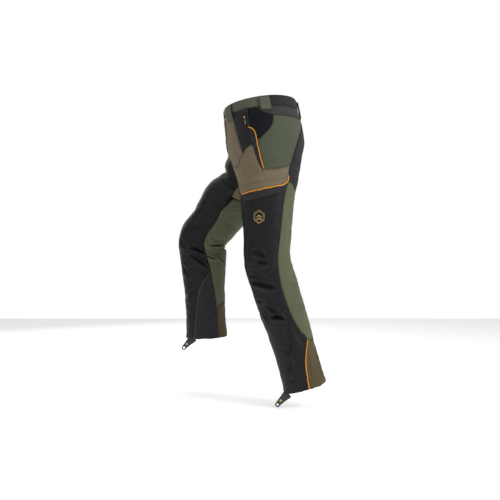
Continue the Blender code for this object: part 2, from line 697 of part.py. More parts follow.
PELVIS = {
    "front_panel": (BROWN, "front_top pocket_front_edge front_hem front_hem_middle middle_front"),
    "pocket_front": (BLACK, "pocket_top zip_front_upper pocket_front_hem pocket_front_edge"),
    "pocket_zip": (
        NAVY_MESH,
        "zip_top zip_back_upper zip_back_lower zip_end zip_front_lower zip_front_upper",
    ),
    "pocket_side": (BLACK, "pocket_side_top yoke_side pocket_side_edge zip_back_upper"),
    "hip_panel": (
        HIP_GREEN,
        "yoke_hem hip_back hip_back_lower hip_hem zip_back_lower pocket_side_edge",
    ),
    "seat": (BLACK, "yoke_centre middle_seat under_seat_top hip_back"),
    "under_seat": (
        BLACK,
        "under_seat_top middle_under_seat inner_thigh_back seat_hem side_back hip_back_lower",
    ),
    "side_panel": (
        BROWN,
        "front_hem pocket_front_hem zip_front_lower zip_end hip_hem side_back cargo cargo_end"
        " groin_outer",
    ),
    "vent_mesh": (NAVY_MESH, "cargo vent_back vent_hem vent_end"),
    "groin_front": (SHELL_BLACK, "front_hem_middle groin_outer groin_hem groin_inner middle_groin"),
    "inner_thigh": (
        BROWN,
        "middle_crotch middle_crotch_back inner_thigh_back inner_thigh_hem thigh_inner_upper"
        " groin_inner",
    ),
}

for side in ("left", "right"):
    for name, (look, seams) in PELVIS.items():
        patch(f"{name}_{side}", side, outline(seams.split()), None, look)

# ---------------------------------------------------------------- thigh, shin and boot tab of each leg

THIGH = {
    "thigh_front": (
        SHELL_BLACK,
        "groin_hem cargo_end vent_end vent_hem thigh_outer knee_top_front thigh_inner"
        " thigh_inner_upper",
    ),
    "back_thigh": (
        LEG_GREEN,
        "seat_hem inner_thigh_hem thigh_inner knee_top_back thigh_outer vent_back",
    ),
    "knee_front": (SHELL_BLACK, "knee_top_front knee_outer knee_end_front knee_inner"),
    "back_knee": (LEG_GREEN, "knee_top_back knee_inner knee_end_back knee_outer"),
}
SHIN = {
    "shin_front": (
        SHELL_BLACK,
        "knee_end_front shin_outer calf_edge hem_shin gusset_front shin_inner",
    ),
    "back_calf": (LEG_GREEN, "knee_end_back shin_inner gusset_back calf_hem shin_outer"),
    "inner_gusset": (NAVY_MESH, "gusset_front hem_gusset gusset_edge gusset_back"),
    "hem_panel": (CALF_BROWN, "calf_hem gusset_edge hem_calf calf_edge"),
}
# The protective blocks behind the leg's front: (angles, levels)
THIGH_BLOCK = ((45, 158), (1.42, KNEE_TOP - 0.03))
SHIN_BLOCK = ((30, 158), (KNEE_END + 0.03, 2.88))


def block(angles, levels):
    """The outline of a four-sided patch between two angles and two levels."""
    (low, high), (top, bottom) = angles, levels
    corners = [(low, top), (low, bottom), (high, bottom), (high, top)]
    sides = [seam_points((a, b))[:-1] for a, b in zip(corners, corners[1:] + corners[:1])]
    return np.vstack(sides)


def boot_tab(side, parent):
    """A flat rubber strap that hangs forward from the front of the hem, with a hole near its tip."""
    root = Vector(surface(side, BOOT_TAB_SPOT, 3.0)) + Vector((0.0, BOOT_TAB_INSET, -BOOT_TAB_DROP))
    lean = math.radians(BOOT_TAB_LEAN)
    down = Vector((0.0, -math.sin(lean), -math.cos(lean)))
    width = Vector((0.0, math.cos(lean), -math.sin(lean)))
    pivot = joint(f"boot_tab_joint_{side}", root, parent)
    tip = BOOT_TAB_TIP / 2
    sides = [(0.0, BOOT_TAB_ROOT / 2), (0.0, -BOOT_TAB_ROOT / 2)]
    centre = BOOT_TAB_LENGTH - tip
    for step in range(9):
        turn = math.radians(-90 + 180 * step / 8)
        sides.append((centre + tip * math.cos(turn), tip * math.sin(turn)))
    hole = []
    for step in range(14):
        turn = math.tau * step / 14
        hole.append((centre + BOOT_TAB_HOLE * math.cos(turn), BOOT_TAB_HOLE * math.sin(turn)))
    plate(f"boot_tab_{side}", [sides, hole], BOOT_TAB_THICKNESS, axes(root, down, width), pivot, RUBBER)


def pocket_fastener(side):
    """The slider of the hip pocket's zip, and the puller that swings from its lower end."""
    ends = (153.6, 0.25), (154.5, 0.355), (155.4, 0.46)
    middle, down, out = slide_line(side, *ends)
    start = middle - down * POCKET_TRAVEL / 2
    sliding = joint(f"pocket_slider_joint_{side}", start)
    across = down.cross(out)
    slider(f"pocket_slider_{side}", axes(start, across, -down), sliding, COPPER)
    pivot = start + down * (SLIDER_LENGTH / 2 + PULLER_GAP) + out * PULLER_LIFT
    hanging = joint(f"pocket_puller_joint_{side}", pivot, sliding)
    half = SLIDER_WIDTH / 2
    top, tip = PULLER_HEEL, -PULLER_LENGTH
    strap = rounded([(-half, top), (half, top), (half, tip), (-half, tip)], radius=0.0015)
    place = axes(pivot, across, -down)
    plate(f"pocket_puller_{side}", [strap], PULLER_THICKNESS, place, hanging, OLIVE)


for side in ("left", "right"):
    sign = 1.0 if side == "left" else -1.0
    hip = np.array((sign * LEG_CENTRE_X, *np.add(HIP_PIVOT, HIP_SHIFT[side])))
    knee = np.array((sign * LEG_CENTRE_X, LEG_CENTRE_Y, -KNEE_DROP))
    knee = swing(knee, HIP_PIVOT, HIP_SWING[side])
    knee[1:] += HIP_SHIFT[side]
    thigh = joint(f"hip_{side}", hip)
    shin = joint(f"knee_{side}", knee, thigh)
    for pieces, body in ((THIGH, thigh), (SHIN, shin)):
        for name, (look, seams) in pieces.items():
            patch(f"{name}_{side}", side, outline(seams.split()), body, look)
    for name, area, body in (("thigh_pad", THIGH_BLOCK, thigh), ("shin_pad", SHIN_BLOCK, shin)):
        patch(f"{name}_{side}", side, block(*area), body, PAD_WHITE, PAD_THICKNESS, PAD_OFFSET)
    boot_tab(side, shin)
    pocket_fastener(side)
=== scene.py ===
"""Stretch work trousers for forestry in a walking stance: cut, folded, sewn and finished."""

import json
import math

import bpy
import numpy as np
from mathutils import Matrix, Vector
from mathutils.geometry import delaunay_2d_cdt


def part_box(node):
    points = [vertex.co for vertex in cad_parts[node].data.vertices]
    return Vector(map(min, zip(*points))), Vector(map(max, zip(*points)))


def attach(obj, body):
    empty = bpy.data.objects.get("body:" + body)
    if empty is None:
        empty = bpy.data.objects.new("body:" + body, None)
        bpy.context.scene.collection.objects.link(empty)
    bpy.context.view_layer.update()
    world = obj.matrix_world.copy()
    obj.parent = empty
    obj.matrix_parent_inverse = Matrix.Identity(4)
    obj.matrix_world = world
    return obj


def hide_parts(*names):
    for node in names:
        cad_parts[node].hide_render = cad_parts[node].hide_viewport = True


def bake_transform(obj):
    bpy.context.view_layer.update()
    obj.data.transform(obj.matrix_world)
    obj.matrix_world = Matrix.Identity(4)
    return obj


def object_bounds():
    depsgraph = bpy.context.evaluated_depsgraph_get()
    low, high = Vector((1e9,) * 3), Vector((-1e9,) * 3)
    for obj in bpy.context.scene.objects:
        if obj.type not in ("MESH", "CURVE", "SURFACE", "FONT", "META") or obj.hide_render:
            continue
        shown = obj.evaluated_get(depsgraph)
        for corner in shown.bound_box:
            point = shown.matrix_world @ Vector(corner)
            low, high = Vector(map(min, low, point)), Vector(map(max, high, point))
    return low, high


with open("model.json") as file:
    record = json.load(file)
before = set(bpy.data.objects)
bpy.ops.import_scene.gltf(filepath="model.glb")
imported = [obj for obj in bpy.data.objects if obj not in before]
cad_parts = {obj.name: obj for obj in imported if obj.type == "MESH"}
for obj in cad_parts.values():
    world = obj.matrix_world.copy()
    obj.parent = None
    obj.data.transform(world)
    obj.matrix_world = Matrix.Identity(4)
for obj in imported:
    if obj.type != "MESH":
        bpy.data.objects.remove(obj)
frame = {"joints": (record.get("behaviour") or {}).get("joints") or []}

cad_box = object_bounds()

# ================================================================ the cut
# A leg's cloth is described by an angle round it (0 inner side, 90 front, 180 outer side, 270
# back) and a level down it (0 waist, 1 crotch, 2 knee, 3 hem). The same sections, hip and knee
# as the solid model's give its place, so every panel lies where its solid does.

SIDES = ("left", "right")
JOINT = {entry["name"]: entry for entry in frame["joints"]}
HIP = {side: np.array(JOINT[f"hip_{side}"]["pos_m"]) for side in SIDES}
KNEE = {side: np.array(JOINT[f"knee_{side}"]["pos_m"]) for side in SIDES}
LEG_X, LEG_Y = KNEE["left"][:2]
RISE = 0.285
KNEE_DROP = -KNEE["left"][2]
OUTSEAM = 1.071
DROPS = (0.0, RISE, KNEE_DROP, OUTSEAM)
HIP_SHIFT = {"left": np.zeros(2), "right": HIP["right"][1:] - HIP["left"][1:]}
HIP_SWING = {"left": 0.0, "right": -35.3}
KNEE_SWING = {"left": 16.0, "right": 37.8}
SHIN_GATHER = {"left": 0.0, "right": 0.098}
KNEE_ZONE, KNEE_ZONE_ABOVE = 0.17, 0.08
GATHER_ZONE, GATHER_START = 0.22, 0.01
HIP_ZONE = (0.10, -0.13)
FRONT_TILT, TILT_EASE, TILT_END = 0.143, 0.30, 0.63
WAIST = (0.158, 0.137)
THIGH_DEPTH, KNEE_DEPTH, CALF_DEPTH, HEM_DEPTH = 0.100, 0.086, 0.080, 0.074

# (level, centre x, half width, centre y, depth to the front, depth to the back)
SECTIONS = np.array(
    [
        (0.00, 0.000, WAIST[0], 0.000, WAIST[1], WAIST[1]),
        (0.16, 0.000, WAIST[0] + 0.009, 0.002, WAIST[1] - 0.001, WAIST[1] + 0.007),
        (0.32, 0.000, 0.176, 0.008, WAIST[1] + 0.001, WAIST[1] + 0.015),
        (0.49, 0.014, 0.171, 0.014, WAIST[1] + 0.003, WAIST[1] + 0.016),
        (0.70, 0.043, 0.145, 0.016, 0.132, 0.142),
        (0.86, 0.071, 0.115, 0.020, 0.121, 0.128),
        (1.00, 0.0935, 0.0935, 0.024, THIGH_DEPTH + 0.011, THIGH_DEPTH + 0.017),
        (1.25, LEG_X, 0.087, LEG_Y, THIGH_DEPTH, THIGH_DEPTH),
        (1.56, LEG_X + 0.001, 0.081, LEG_Y, 0.0915, 0.0915),
        (1.85, LEG_X + 0.002, 0.076, LEG_Y, KNEE_DEPTH, KNEE_DEPTH),
        (2.06, LEG_X + 0.002, 0.074, LEG_Y, KNEE_DEPTH, KNEE_DEPTH),
        (2.27, LEG_X + 0.003, 0.071, LEG_Y, CALF_DEPTH + 0.005, CALF_DEPTH + 0.005),
        (2.44, LEG_X + 0.004, 0.068, LEG_Y, CALF_DEPTH, CALF_DEPTH),
        (2.58, LEG_X + 0.005, 0.066, LEG_Y, HEM_DEPTH, HEM_DEPTH),
        (2.81, LEG_X + 0.006, 0.065, LEG_Y, HEM_DEPTH - 0.0035, HEM_DEPTH - 0.0035),
        (3.00, LEG_X + 0.006, 0.066, LEG_Y, HEM_DEPTH, HEM_DEPTH),
    ]
)


def ease(t):
    t = np.clip(t, 0.0, 1.0)
    return t * t * (3.0 - 2.0 * t)


def drop(level):
    """How far below the waistband's top edge a level is."""
    return np.interp(level, (0.0, 1.0, 2.0, 3.0), DROPS)


def level_at(depth):
    return np.interp(depth, DROPS, (0.0, 1.0, 2.0, 3.0))


def section(level):
    """Centre x, half width, centre y, front depth and back depth of a leg at a level."""
    depth, values = drop(SECTIONS[:, 0]), SECTIONS[:, 1:]
    slope = (values[1:] - values[:-1]) / (depth[1:] - depth[:-1])[:, None]
    inner = np.where(slope[1:] * slope[:-1] <= 0.0, 0.0, (slope[1:] + slope[:-1]) / 2.0)
    tangent = np.vstack([slope[:1], inner, slope[-1:]])
    at = np.clip(drop(level), depth[0], depth[-1])
    i = np.clip(np.searchsorted(depth, at) - 1, 0, len(depth) - 2)
    span = (depth[i + 1] - depth[i])[..., None]
    t = (at - depth[i])[..., None] / span
    return (
        (2 * t**3 - 3 * t**2 + 1) * values[i]
        + (t**3 - 2 * t**2 + t) * span * tangent[i]
        + (3 * t**2 - 2 * t**3) * values[i + 1]
        + (t**3 - t**2) * span * tangent[i + 1]
    )


def standing(angle, level):
    """A point of the left leg's cloth with the leg straight down."""
    angle, level = np.broadcast_arrays(np.radians(angle), np.asarray(level, float))
    centre_x, half_width, centre_y, front, back = np.moveaxis(section(level), -1, 0)
    forward = np.sin(angle)
    y = centre_y - np.where(forward > 0, front, back) * forward
    tilt = FRONT_TILT * y - TILT_EASE * np.maximum(y, 0.0) ** 2
    z = -drop(level) + tilt * (1.0 - ease(level / TILT_END))
    return np.stack([centre_x - half_width * np.cos(angle), y, z], axis=-1)


def swing(point, pivot, degrees):
    """Turn points about the X axis through pivot (y, z)."""
    turn = np.radians(degrees)
    y, z = point[..., 1] - pivot[0], point[..., 2] - pivot[1]
    bent = point + 0.0
    bent[..., 1] = pivot[0] + y * np.cos(turn) - z * np.sin(turn)
    bent[..., 2] = pivot[1] + y * np.sin(turn) + z * np.cos(turn)
    return bent


def stance(point, side):
    """Bend the standing left leg at the knee and the hip, and mirror it for the right."""
    along = point[..., 0] * HIP_ZONE[0] + (point[..., 2] + RISE) * HIP_ZONE[1]
    hip = ease(along / (HIP_ZONE[0] ** 2 + HIP_ZONE[1] ** 2))
    depth = -point[..., 2]
    knee = ease((depth - KNEE_DROP + KNEE_ZONE_ABOVE) / KNEE_ZONE)
    bent = point + 0.0
    bent[..., 2] += SHIN_GATHER[side] * ease((depth - KNEE_DROP + GATHER_START) / GATHER_ZONE)
    bent = swing(bent, (LEG_Y, -KNEE_DROP), KNEE_SWING[side] * knee)
    bent = swing(bent, HIP["left"][1:], HIP_SWING[side] * hip)
    bent[..., 1:] += HIP_SHIFT[side] * hip[..., None]
    if side == "right":
        bent[..., 0] *= -1.0
    return bent


def middle_angle(level, distance=0.0):
    """The angle at which a leg's section is a distance from the plane between the legs."""
    centre_x, half_width = section(np.asarray(level, float))[..., 0:2].T
    return np.degrees(np.arccos(np.clip((centre_x - distance) / half_width, -1.0, 1.0)))


# ================================================================ the drape
# The legs go through the cloth solver as two tubes of a coarse grid, held above the crotch and
# at the hems, with the straight leg as their rest shape. With these settings the solver itself
# moves no point by more than about half a millimetre: nearly all of the movement that comes out
# is the random unevenness that the tubes start with. The folds that show are the next section's.

COLUMNS, ROWS = 72, 120
DRAPE_FRAMES = 26
DRAPE_LIMIT = 0.010  # no point moves further
ROUGHNESS = 0.0008  # spread of the random unevenness that the cloth starts with, each way
SPARE_LENGTH = {"left": 0.022, "right": 0.004}  # added to the rest shape over the knee
SPARE_ROUND = 1.012
row_level = level_at(np.linspace(0.0, OUTSEAM, ROWS + 1))


def grid_angles(level):
    """The angles of the grid's columns at each level."""
    start = np.where(level < 1.0, middle_angle(level), 0.0)[:, None]
    return start + (360.0 - 2.0 * start) * np.linspace(0.0, 1.0, COLUMNS + 1)


def hang(side):
    """How far each point of one leg's grid ends from the bent leg: unevenness, then the solver."""
    angles = grid_angles(row_level)
    levels = np.repeat(row_level[:, None], COLUMNS + 1, axis=1)
    cut = standing(angles, levels)
    place = stance(cut, side)
    index = np.arange(angles.size).reshape(angles.shape)
    index[row_level >= 1.0, -1] = index[row_level >= 1.0, 0]
    quads = np.stack([index[:-1, :-1], index[:-1, 1:], index[1:, 1:], index[1:, :-1]], axis=-1)
    if side == "left":
        quads = quads[..., ::-1]  # so that the faces look outwards on both legs
    used, quads = np.unique(quads.reshape(-1, 4), return_inverse=True)
    mesh = bpy.data.meshes.new(f"hung_{side}")
    mesh.from_pydata(place.reshape(-1, 3)[used].tolist(), [], quads.reshape(-1, 4).tolist())
    hung = bpy.data.objects.new(f"hung_{side}", mesh)
    bpy.context.scene.collection.objects.link(hung)

    depth = drop(levels)
    spare = SPARE_LENGTH[side] * ease((depth - KNEE_DROP + 0.05) / 0.16)
    cut[..., 2] -= spare
    centre = np.array((LEG_X, LEG_Y))
    loose = 1.0 + (SPARE_ROUND - 1.0) * ease((levels - 1.0) / 0.3)
    cut[..., :2] = centre + (cut[..., :2] - centre) * loose[..., None]
    if side == "right":
        cut[..., 0] *= -1.0
    generator = np.random.default_rng(7 if side == "left" else 11)
    rough = generator.normal(0.0, ROUGHNESS, place.shape)
    hung.shape_key_add(name="Basis")
    rest = hung.shape_key_add(name="cut")
    rest.data.foreach_set("co", cut.reshape(-1, 3)[used].ravel())
    rest.value = 0.0
    start = (place + rough).reshape(-1, 3)[used]
    mesh.vertices.foreach_set("co", start.ravel())
    hung.data.shape_keys.key_blocks["Basis"].data.foreach_set("co", start.ravel())

    hold = 1.0 - ease((levels - 0.62) / 0.35) * 0.985
    hold = np.maximum(hold, ease((levels - 2.93) / 0.05))
    group = hung.vertex_groups.new(name="held")
    for place_in_mesh, weight in enumerate(hold.ravel()[used]):
        group.add([place_in_mesh], float(weight), "REPLACE")
    cloth = hung.modifiers.new("cloth", "CLOTH")
    settings = cloth.settings
    settings.quality = 5
    settings.mass = 0.15
    settings.tension_stiffness = settings.compression_stiffness = 12.0
    settings.shear_stiffness = 4.0
    settings.bending_stiffness = 0.6
    settings.air_damping = 4.0
    settings.vertex_group_mass = "held"
    settings.pin_stiffness = 1.0
    settings.use_pressure = True
    settings.uniform_pressure_force = 0.6
    settings.rest_shape_key = rest
    settings.effector_weights.gravity = 0.0
    cloth.collision_settings.use_collision = False
    cloth.point_cache.frame_end = DRAPE_FRAMES
    for step in range(1, DRAPE_FRAMES + 1):
        bpy.context.scene.frame_set(step)
    shaped = hung.evaluated_get(bpy.context.evaluated_depsgraph_get()).to_mesh()
    found = np.empty(len(shaped.vertices) * 3)
    shaped.vertices.foreach_get("co", found)
    moved = np.zeros((angles.size, 3))
    moved[used] = found.reshape(-1, 3) - place.reshape(-1, 3)[used]
    moved = moved.reshape(place.shape)
    moved[row_level >= 1.0, -1] = moved[row_level >= 1.0, 0]
    bpy.data.objects.remove(hung, do_unlink=True)
    size = np.linalg.norm(moved, axis=-1, keepdims=True)
    moved *= DRAPE_LIMIT * np.tanh(size / DRAPE_LIMIT) / np.maximum(size, 1e-9)
    middle = (levels < 1.0) & ((np.arange(COLUMNS + 1) == 0) | (np.arange(COLUMNS + 1) == COLUMNS))
    moved[middle, 0] = 0.0
    print(f"hung {side}: mean {size.mean() * 1000:.2f} mm, most {size.max() * 1000:.1f} mm")
    return moved


HUNG = {side: hang(side) for side in SIDES}
bpy.context.scene.frame_set(1)


def hung_by(side, angle, level):
    """The drape's movement at any angle and level, read smoothly from its grid."""
    start = np.where(level < 1.0, middle_angle(level), 0.0)
    share = (angle - start) / (360.0 - 2.0 * start)
    share = np.where(level >= 1.0, share % 1.0, np.clip(share, 0.0, 1.0)) * COLUMNS
    row = drop(level) / OUTSEAM * ROWS
    field = HUNG[side]
    total = np.zeros(np.shape(angle) + (3,))
    weight_sum = 0.0
    i0, j0 = np.floor(row).astype(int), np.floor(share).astype(int)
    for di in (-1, 0, 1, 2):
        for dj in (-1, 0, 1, 2):
            i = np.clip(i0 + di, 0, ROWS)
            closed = level >= 1.0
            j = np.where(closed, (j0 + dj) % COLUMNS, np.clip(j0 + dj, 0, COLUMNS))
            weight = np.maximum(0.0, 1.0 - np.abs(row - i0 - di) / 2.0) ** 2
            weight = weight * np.maximum(0.0, 1.0 - np.abs(share - j0 - dj) / 2.0) ** 2
            total += weight[..., None] * field[i, j]
            weight_sum = weight_sum + weight
    return total / weight_sum[..., None]


# ================================================================ folds
# Long folds that a worn pair keeps: round the kneecap, behind the bent knee and down the shin.
# Each is a valley with a soft ridge on both sides: (depth, half width, points), in metres.

FOLDS = {
    "both": (
        (0.0030, 0.008, ((116, 1.58), (124, 1.68), (138, 1.78))),
        (0.0015, 0.012, ((228, 1.35), (240, 1.55), (236, 1.80))),
        (0.0012, 0.010, ((204, 2.27), (218, 2.36))),
        (0.0014, 0.008, ((212, 2.25), (232, 2.35))),
        (0.0010, 0.005, ((236, 0.30), (242, 0.36), (240, 0.44))),
        (0.0010, 0.005, ((246, 0.29), (249, 0.34), (246, 0.40))),
        (0.0016, 0.018, ((128, 0.88), (146, 0.93), (168, 1.00))),
        (0.0012, 0.016, ((186, 0.50), (204, 0.56), (222, 0.60))),
        (0.0010, 0.014, ((180, 0.86), (200, 0.88), (220, 0.84))),
        (0.0020, 0.014, ((104, 1.02), (116, 1.08), (132, 1.12))),
        (0.0018, 0.012, ((300, 1.32), (322, 1.42), (345, 1.58))),
        (0.0022, 0.0026, ((199, 2.200), (257, 2.243), (310, 2.235), (350, 2.200))),
        (0.0022, 0.0026, ((199, 2.366), (266, 2.405), (310, 2.405), (345, 2.390))),
        (0.0007, 0.0030, ((115, 1.151), (148, 1.102), (188, 1.063), (216, 1.020))),
        (0.0009, 0.0100, ((132, 0.80), (152, 0.86), (170, 0.90))),
        (0.0011, 0.0110, ((120, 0.98), (150, 0.985), (186, 1.03))),
        (0.0010, 0.0110, ((190, 0.66), (206, 0.70), (220, 0.69))),
        (0.0009, 0.0080, ((108, 0.40), (116, 0.52), (121, 0.68))),
    ),
    "left": (
        (0.0060, 0.0065, ((137, 1.88), (152, 1.89), (164, 1.92), (177, 1.99))),
        (0.0065, 0.0055, ((150, 2.00), (166, 2.005), (182, 2.025))),
        (0.0025, 0.0060, ((132, 2.03), (146, 2.065), (162, 2.07), (186, 2.05))),
        (0.0035, 0.0060, ((141, 2.08), (147, 2.10), (154, 2.13))),
        (0.0080, 0.0070, ((106, 2.12), (126, 2.13), (144, 2.15), (168, 2.19), (188, 2.22))),
        (0.0030, 0.0060, ((114, 2.27), (124, 2.27), (136, 2.285))),
        (0.0050, 0.0070, ((140, 2.315), (152, 2.34), (162, 2.38), (170, 2.415))),
        (0.0080, 0.0065, ((141, 2.41), (156, 2.415), (170, 2.43), (182, 2.47))),
        (0.0035, 0.0070, ((121, 2.355), (126, 2.39), (132, 2.44))),
        (0.0035, 0.0110, ((186, 2.44), (178, 2.56), (176, 2.70), (180, 2.82))),
        (0.0040, 0.0090, ((150, 2.66), (164, 2.70), (176, 2.64))),
        (0.0030, 0.0090, ((164, 2.72), (156, 2.80), (146, 2.86))),
        (0.0024, 0.0080, ((196, 2.54), (206, 2.62), (212, 2.68))),
        (0.0024, 0.0090, ((128, 2.94), (146, 2.90), (164, 2.91))),
        (0.0022, 0.0080, ((214, 2.78), (206, 2.86), (204, 2.94))),
        (0.0030, 0.0090, ((262, 2.72), (250, 2.84), (240, 2.97))),
    ),
    "right": (
        (0.0050, 0.0090, ((48, 1.94), (36, 1.90), (24, 1.85))),
        (0.0090, 0.0085, ((40, 2.105), (28, 2.105), (16, 2.125), (5, 2.17), (-3, 2.22))),
        (0.0070, 0.0075, ((38, 2.21), (20, 2.31), (4, 2.38), (-13, 2.44))),
        (0.0085, 0.0085, ((-14, 2.03), (-26, 2.04), (-40, 2.02), (-60, 1.97), (-84, 1.95))),
        (0.0080, 0.0060, ((-4, 2.24), (-14, 2.29), (-26, 2.32), (-42, 2.33))),
        (0.0075, 0.0055, ((-22, 2.255), (-33, 2.27), (-46, 2.31), (-60, 2.37), (-80, 2.40))),
        (0.0030, 0.0080, ((-10, 1.88), (-22, 1.91), (-36, 1.93))),
        (0.0030, 0.0080, ((70, 2.02), (52, 2.07), (40, 2.13))),
        (0.0040, 0.0090, ((90, 2.66), (60, 2.655), (30, 2.59))),
        (0.0035, 0.0090, ((84, 2.34), (60, 2.42), (38, 2.50))),
        (0.0030, 0.0080, ((-40, 2.72), (-20, 2.80), (4, 2.86))),
        (0.0020, 0.0080, ((-12, 2.62), (6, 2.68), (20, 2.70))),
        (0.0070, 0.0075, ((200, 2.03), (225, 2.01), (255, 1.98), (278, 1.96))),
        (0.0070, 0.0070, ((186, 2.26), (214, 2.32), (246, 2.36), (276, 2.40))),
        (0.0050, 0.0080, ((112, 2.08), (136, 2.11), (160, 2.16), (182, 2.24))),
    ),
}
FOLD_DEPTH = {"left": 1.35, "right": 1.1}  # how much of the listed depth each leg's folds have
ANGLE_LENGTH = math.radians(1.0) * 0.1  # one degree on a leg of mean size


def flatten(angle, level):
    """A place on a leg as a length round it and a height."""
    return np.stack([np.asarray(angle) * ANGLE_LENGTH, -drop(level)], axis=-1)


def smooth_path(points, step=0.004):
    """Points along a smooth curve through a path's own points."""
    points = np.array(points, float)
    padded = np.vstack([2 * points[0] - points[1], points, 2 * points[-1] - points[-2]])
    curve = [points[:1]]
    for a, b, c, d in zip(padded, padded[1:], padded[2:], padded[3:]):
        reach = np.linalg.norm(np.diff(flatten(*np.array([b, c]).T), axis=0))
        t = (np.arange(max(1, round(reach / step))) + 1)[:, None] / max(1, round(reach / step))
        square = (2 * a - 5 * b + 4 * c - d) * t**2
        cube = (3 * b - a - 3 * c + d) * t**3
        curve.append(0.5 * (2 * b + (c - a) * t + square + cube))
    return np.vstack(curve)


def nearest(places, path):
    """Distance to a path, and which of its points is the nearest, for flat places."""
    distance = np.empty(len(places))
    which = np.empty(len(places), int)
    for first in range(0, len(places), 4000):
        part = places[first : first + 4000]
        square = ((part[:, None, :] - path[None, :, :]) ** 2).sum(-1)
        which[first : first + 4000] = square.argmin(1)
        distance[first : first + 4000] = np.sqrt(square.min(1))
    return distance, which


def folded(side, angle, level):
    """How far the long folds lift the cloth at a place."""
    places = flatten(angle, level).reshape(-1, 2)
    lift = np.zeros(len(places))
    for depth, width, points in FOLDS["both"] + FOLDS[side]:
        depth = depth * FOLD_DEPTH[side]
        path = smooth_path(points)
        for turn in (-360.0, 0.0, 360.0):
            line = flatten(path[:, 0] + turn, path[:, 1])
            low, high = line.min(0) - 5 * width, line.max(0) + 5 * width
            near = np.flatnonzero(((places > low) & (places < high)).all(1))
            if not len(near):
                continue
            distance, which = nearest(places[near], line)
            end = np.minimum(which, len(line) - 1 - which) / (len(line) - 1)
            taper = ease(end / 0.28) * 0.9 + 0.1 * ease(end / 0.05)
            wide = distance / (width * (0.55 + 0.45 * ease(end / 0.4)))
            valley = np.exp(-(wide**2)) - 0.5 * np.exp(-((wide - 1.9) ** 2))
            lift[near] -= depth * taper * valley
    return lift.reshape(np.shape(angle))


def rippled(side, angle, level):
    """A slight unevenness all over, as worn cloth has."""
    x, y = np.moveaxis(flatten(angle, level), -1, 0)
    turn = 0.0 if side == "left" else 2.1
    round_leg = np.radians(angle)
    wave = np.sin(y * 61 + 2.0 * np.sin(round_leg + turn)) * np.cos(round_leg * 3 + y * 9)
    wave = wave + 0.6 * np.sin(y * 117 + round_leg * 2 + turn) * np.sin(round_leg * 5 - y * 21)
    return 0.0007 * wave * ease((level - 0.3) / 0.5)


def spanned(side, angle, level):
    """Where the cloth stands off the leg: it spans the forward groin, and hangs loose below."""
    if side == "left":
        behind = ease((angle - 170.0) / 60.0) * ease((350.0 - angle) / 60.0)
        return 0.011 * behind * ease((level - 2.25) / 0.35)
    start = np.where(level < 1.0, middle_angle(level), 0.0)
    front = ease((angle - start) / 36.0) * ease((205.0 - angle) / 95.0)
    groin = 0.030 * front * ease((170.0 - angle) / 50.0) * ease((level - 0.58) / 0.2)
    groin = groin * (1.0 - ease((level - 0.82) / 0.95))
    return groin + 0.014 * ease((angle - 5.0) / 60.0) * front * ease((level - 1.05) / 0.5)


def surface(side, angle, level, lift=0.0):
    """A place on the cloth, with the ways across it, up it and out of it."""
    angle, level = np.broadcast_arrays(np.asarray(angle, float), np.asarray(level, float))
    place = stance(standing(angle, level), side)
    across = stance(standing(angle + 0.5, level), side) - stance(standing(angle - 0.5, level), side)
    up = stance(standing(angle, level - 0.004), side) - stance(standing(angle, level + 0.004), side)
    mirror = -1.0 if side == "right" else 1.0
    out = np.cross(across, up) * mirror
    out /= np.linalg.norm(out, axis=-1, keepdims=True)
    up = up / np.linalg.norm(up, axis=-1, keepdims=True)
    across = np.cross(up, out) * mirror
    height = folded(side, angle, level) + rippled(side, angle, level) + spanned(side, angle, level)
    still = ease((level - 0.30) / 0.25)[..., None]
    from_middle = np.abs((angle + 180.0) % 360.0 - 180.0) - middle_angle(level)
    free = np.where(level <= 1.0, ease(from_middle / 7.0), 1.0)  # the legs meet in the middle
    height = height * free + lift
    moved = hung_by(side, angle, level) * still * free[..., None] + out * height[..., None]
    moved[..., 0] *= free
    return place + moved, across, up, out
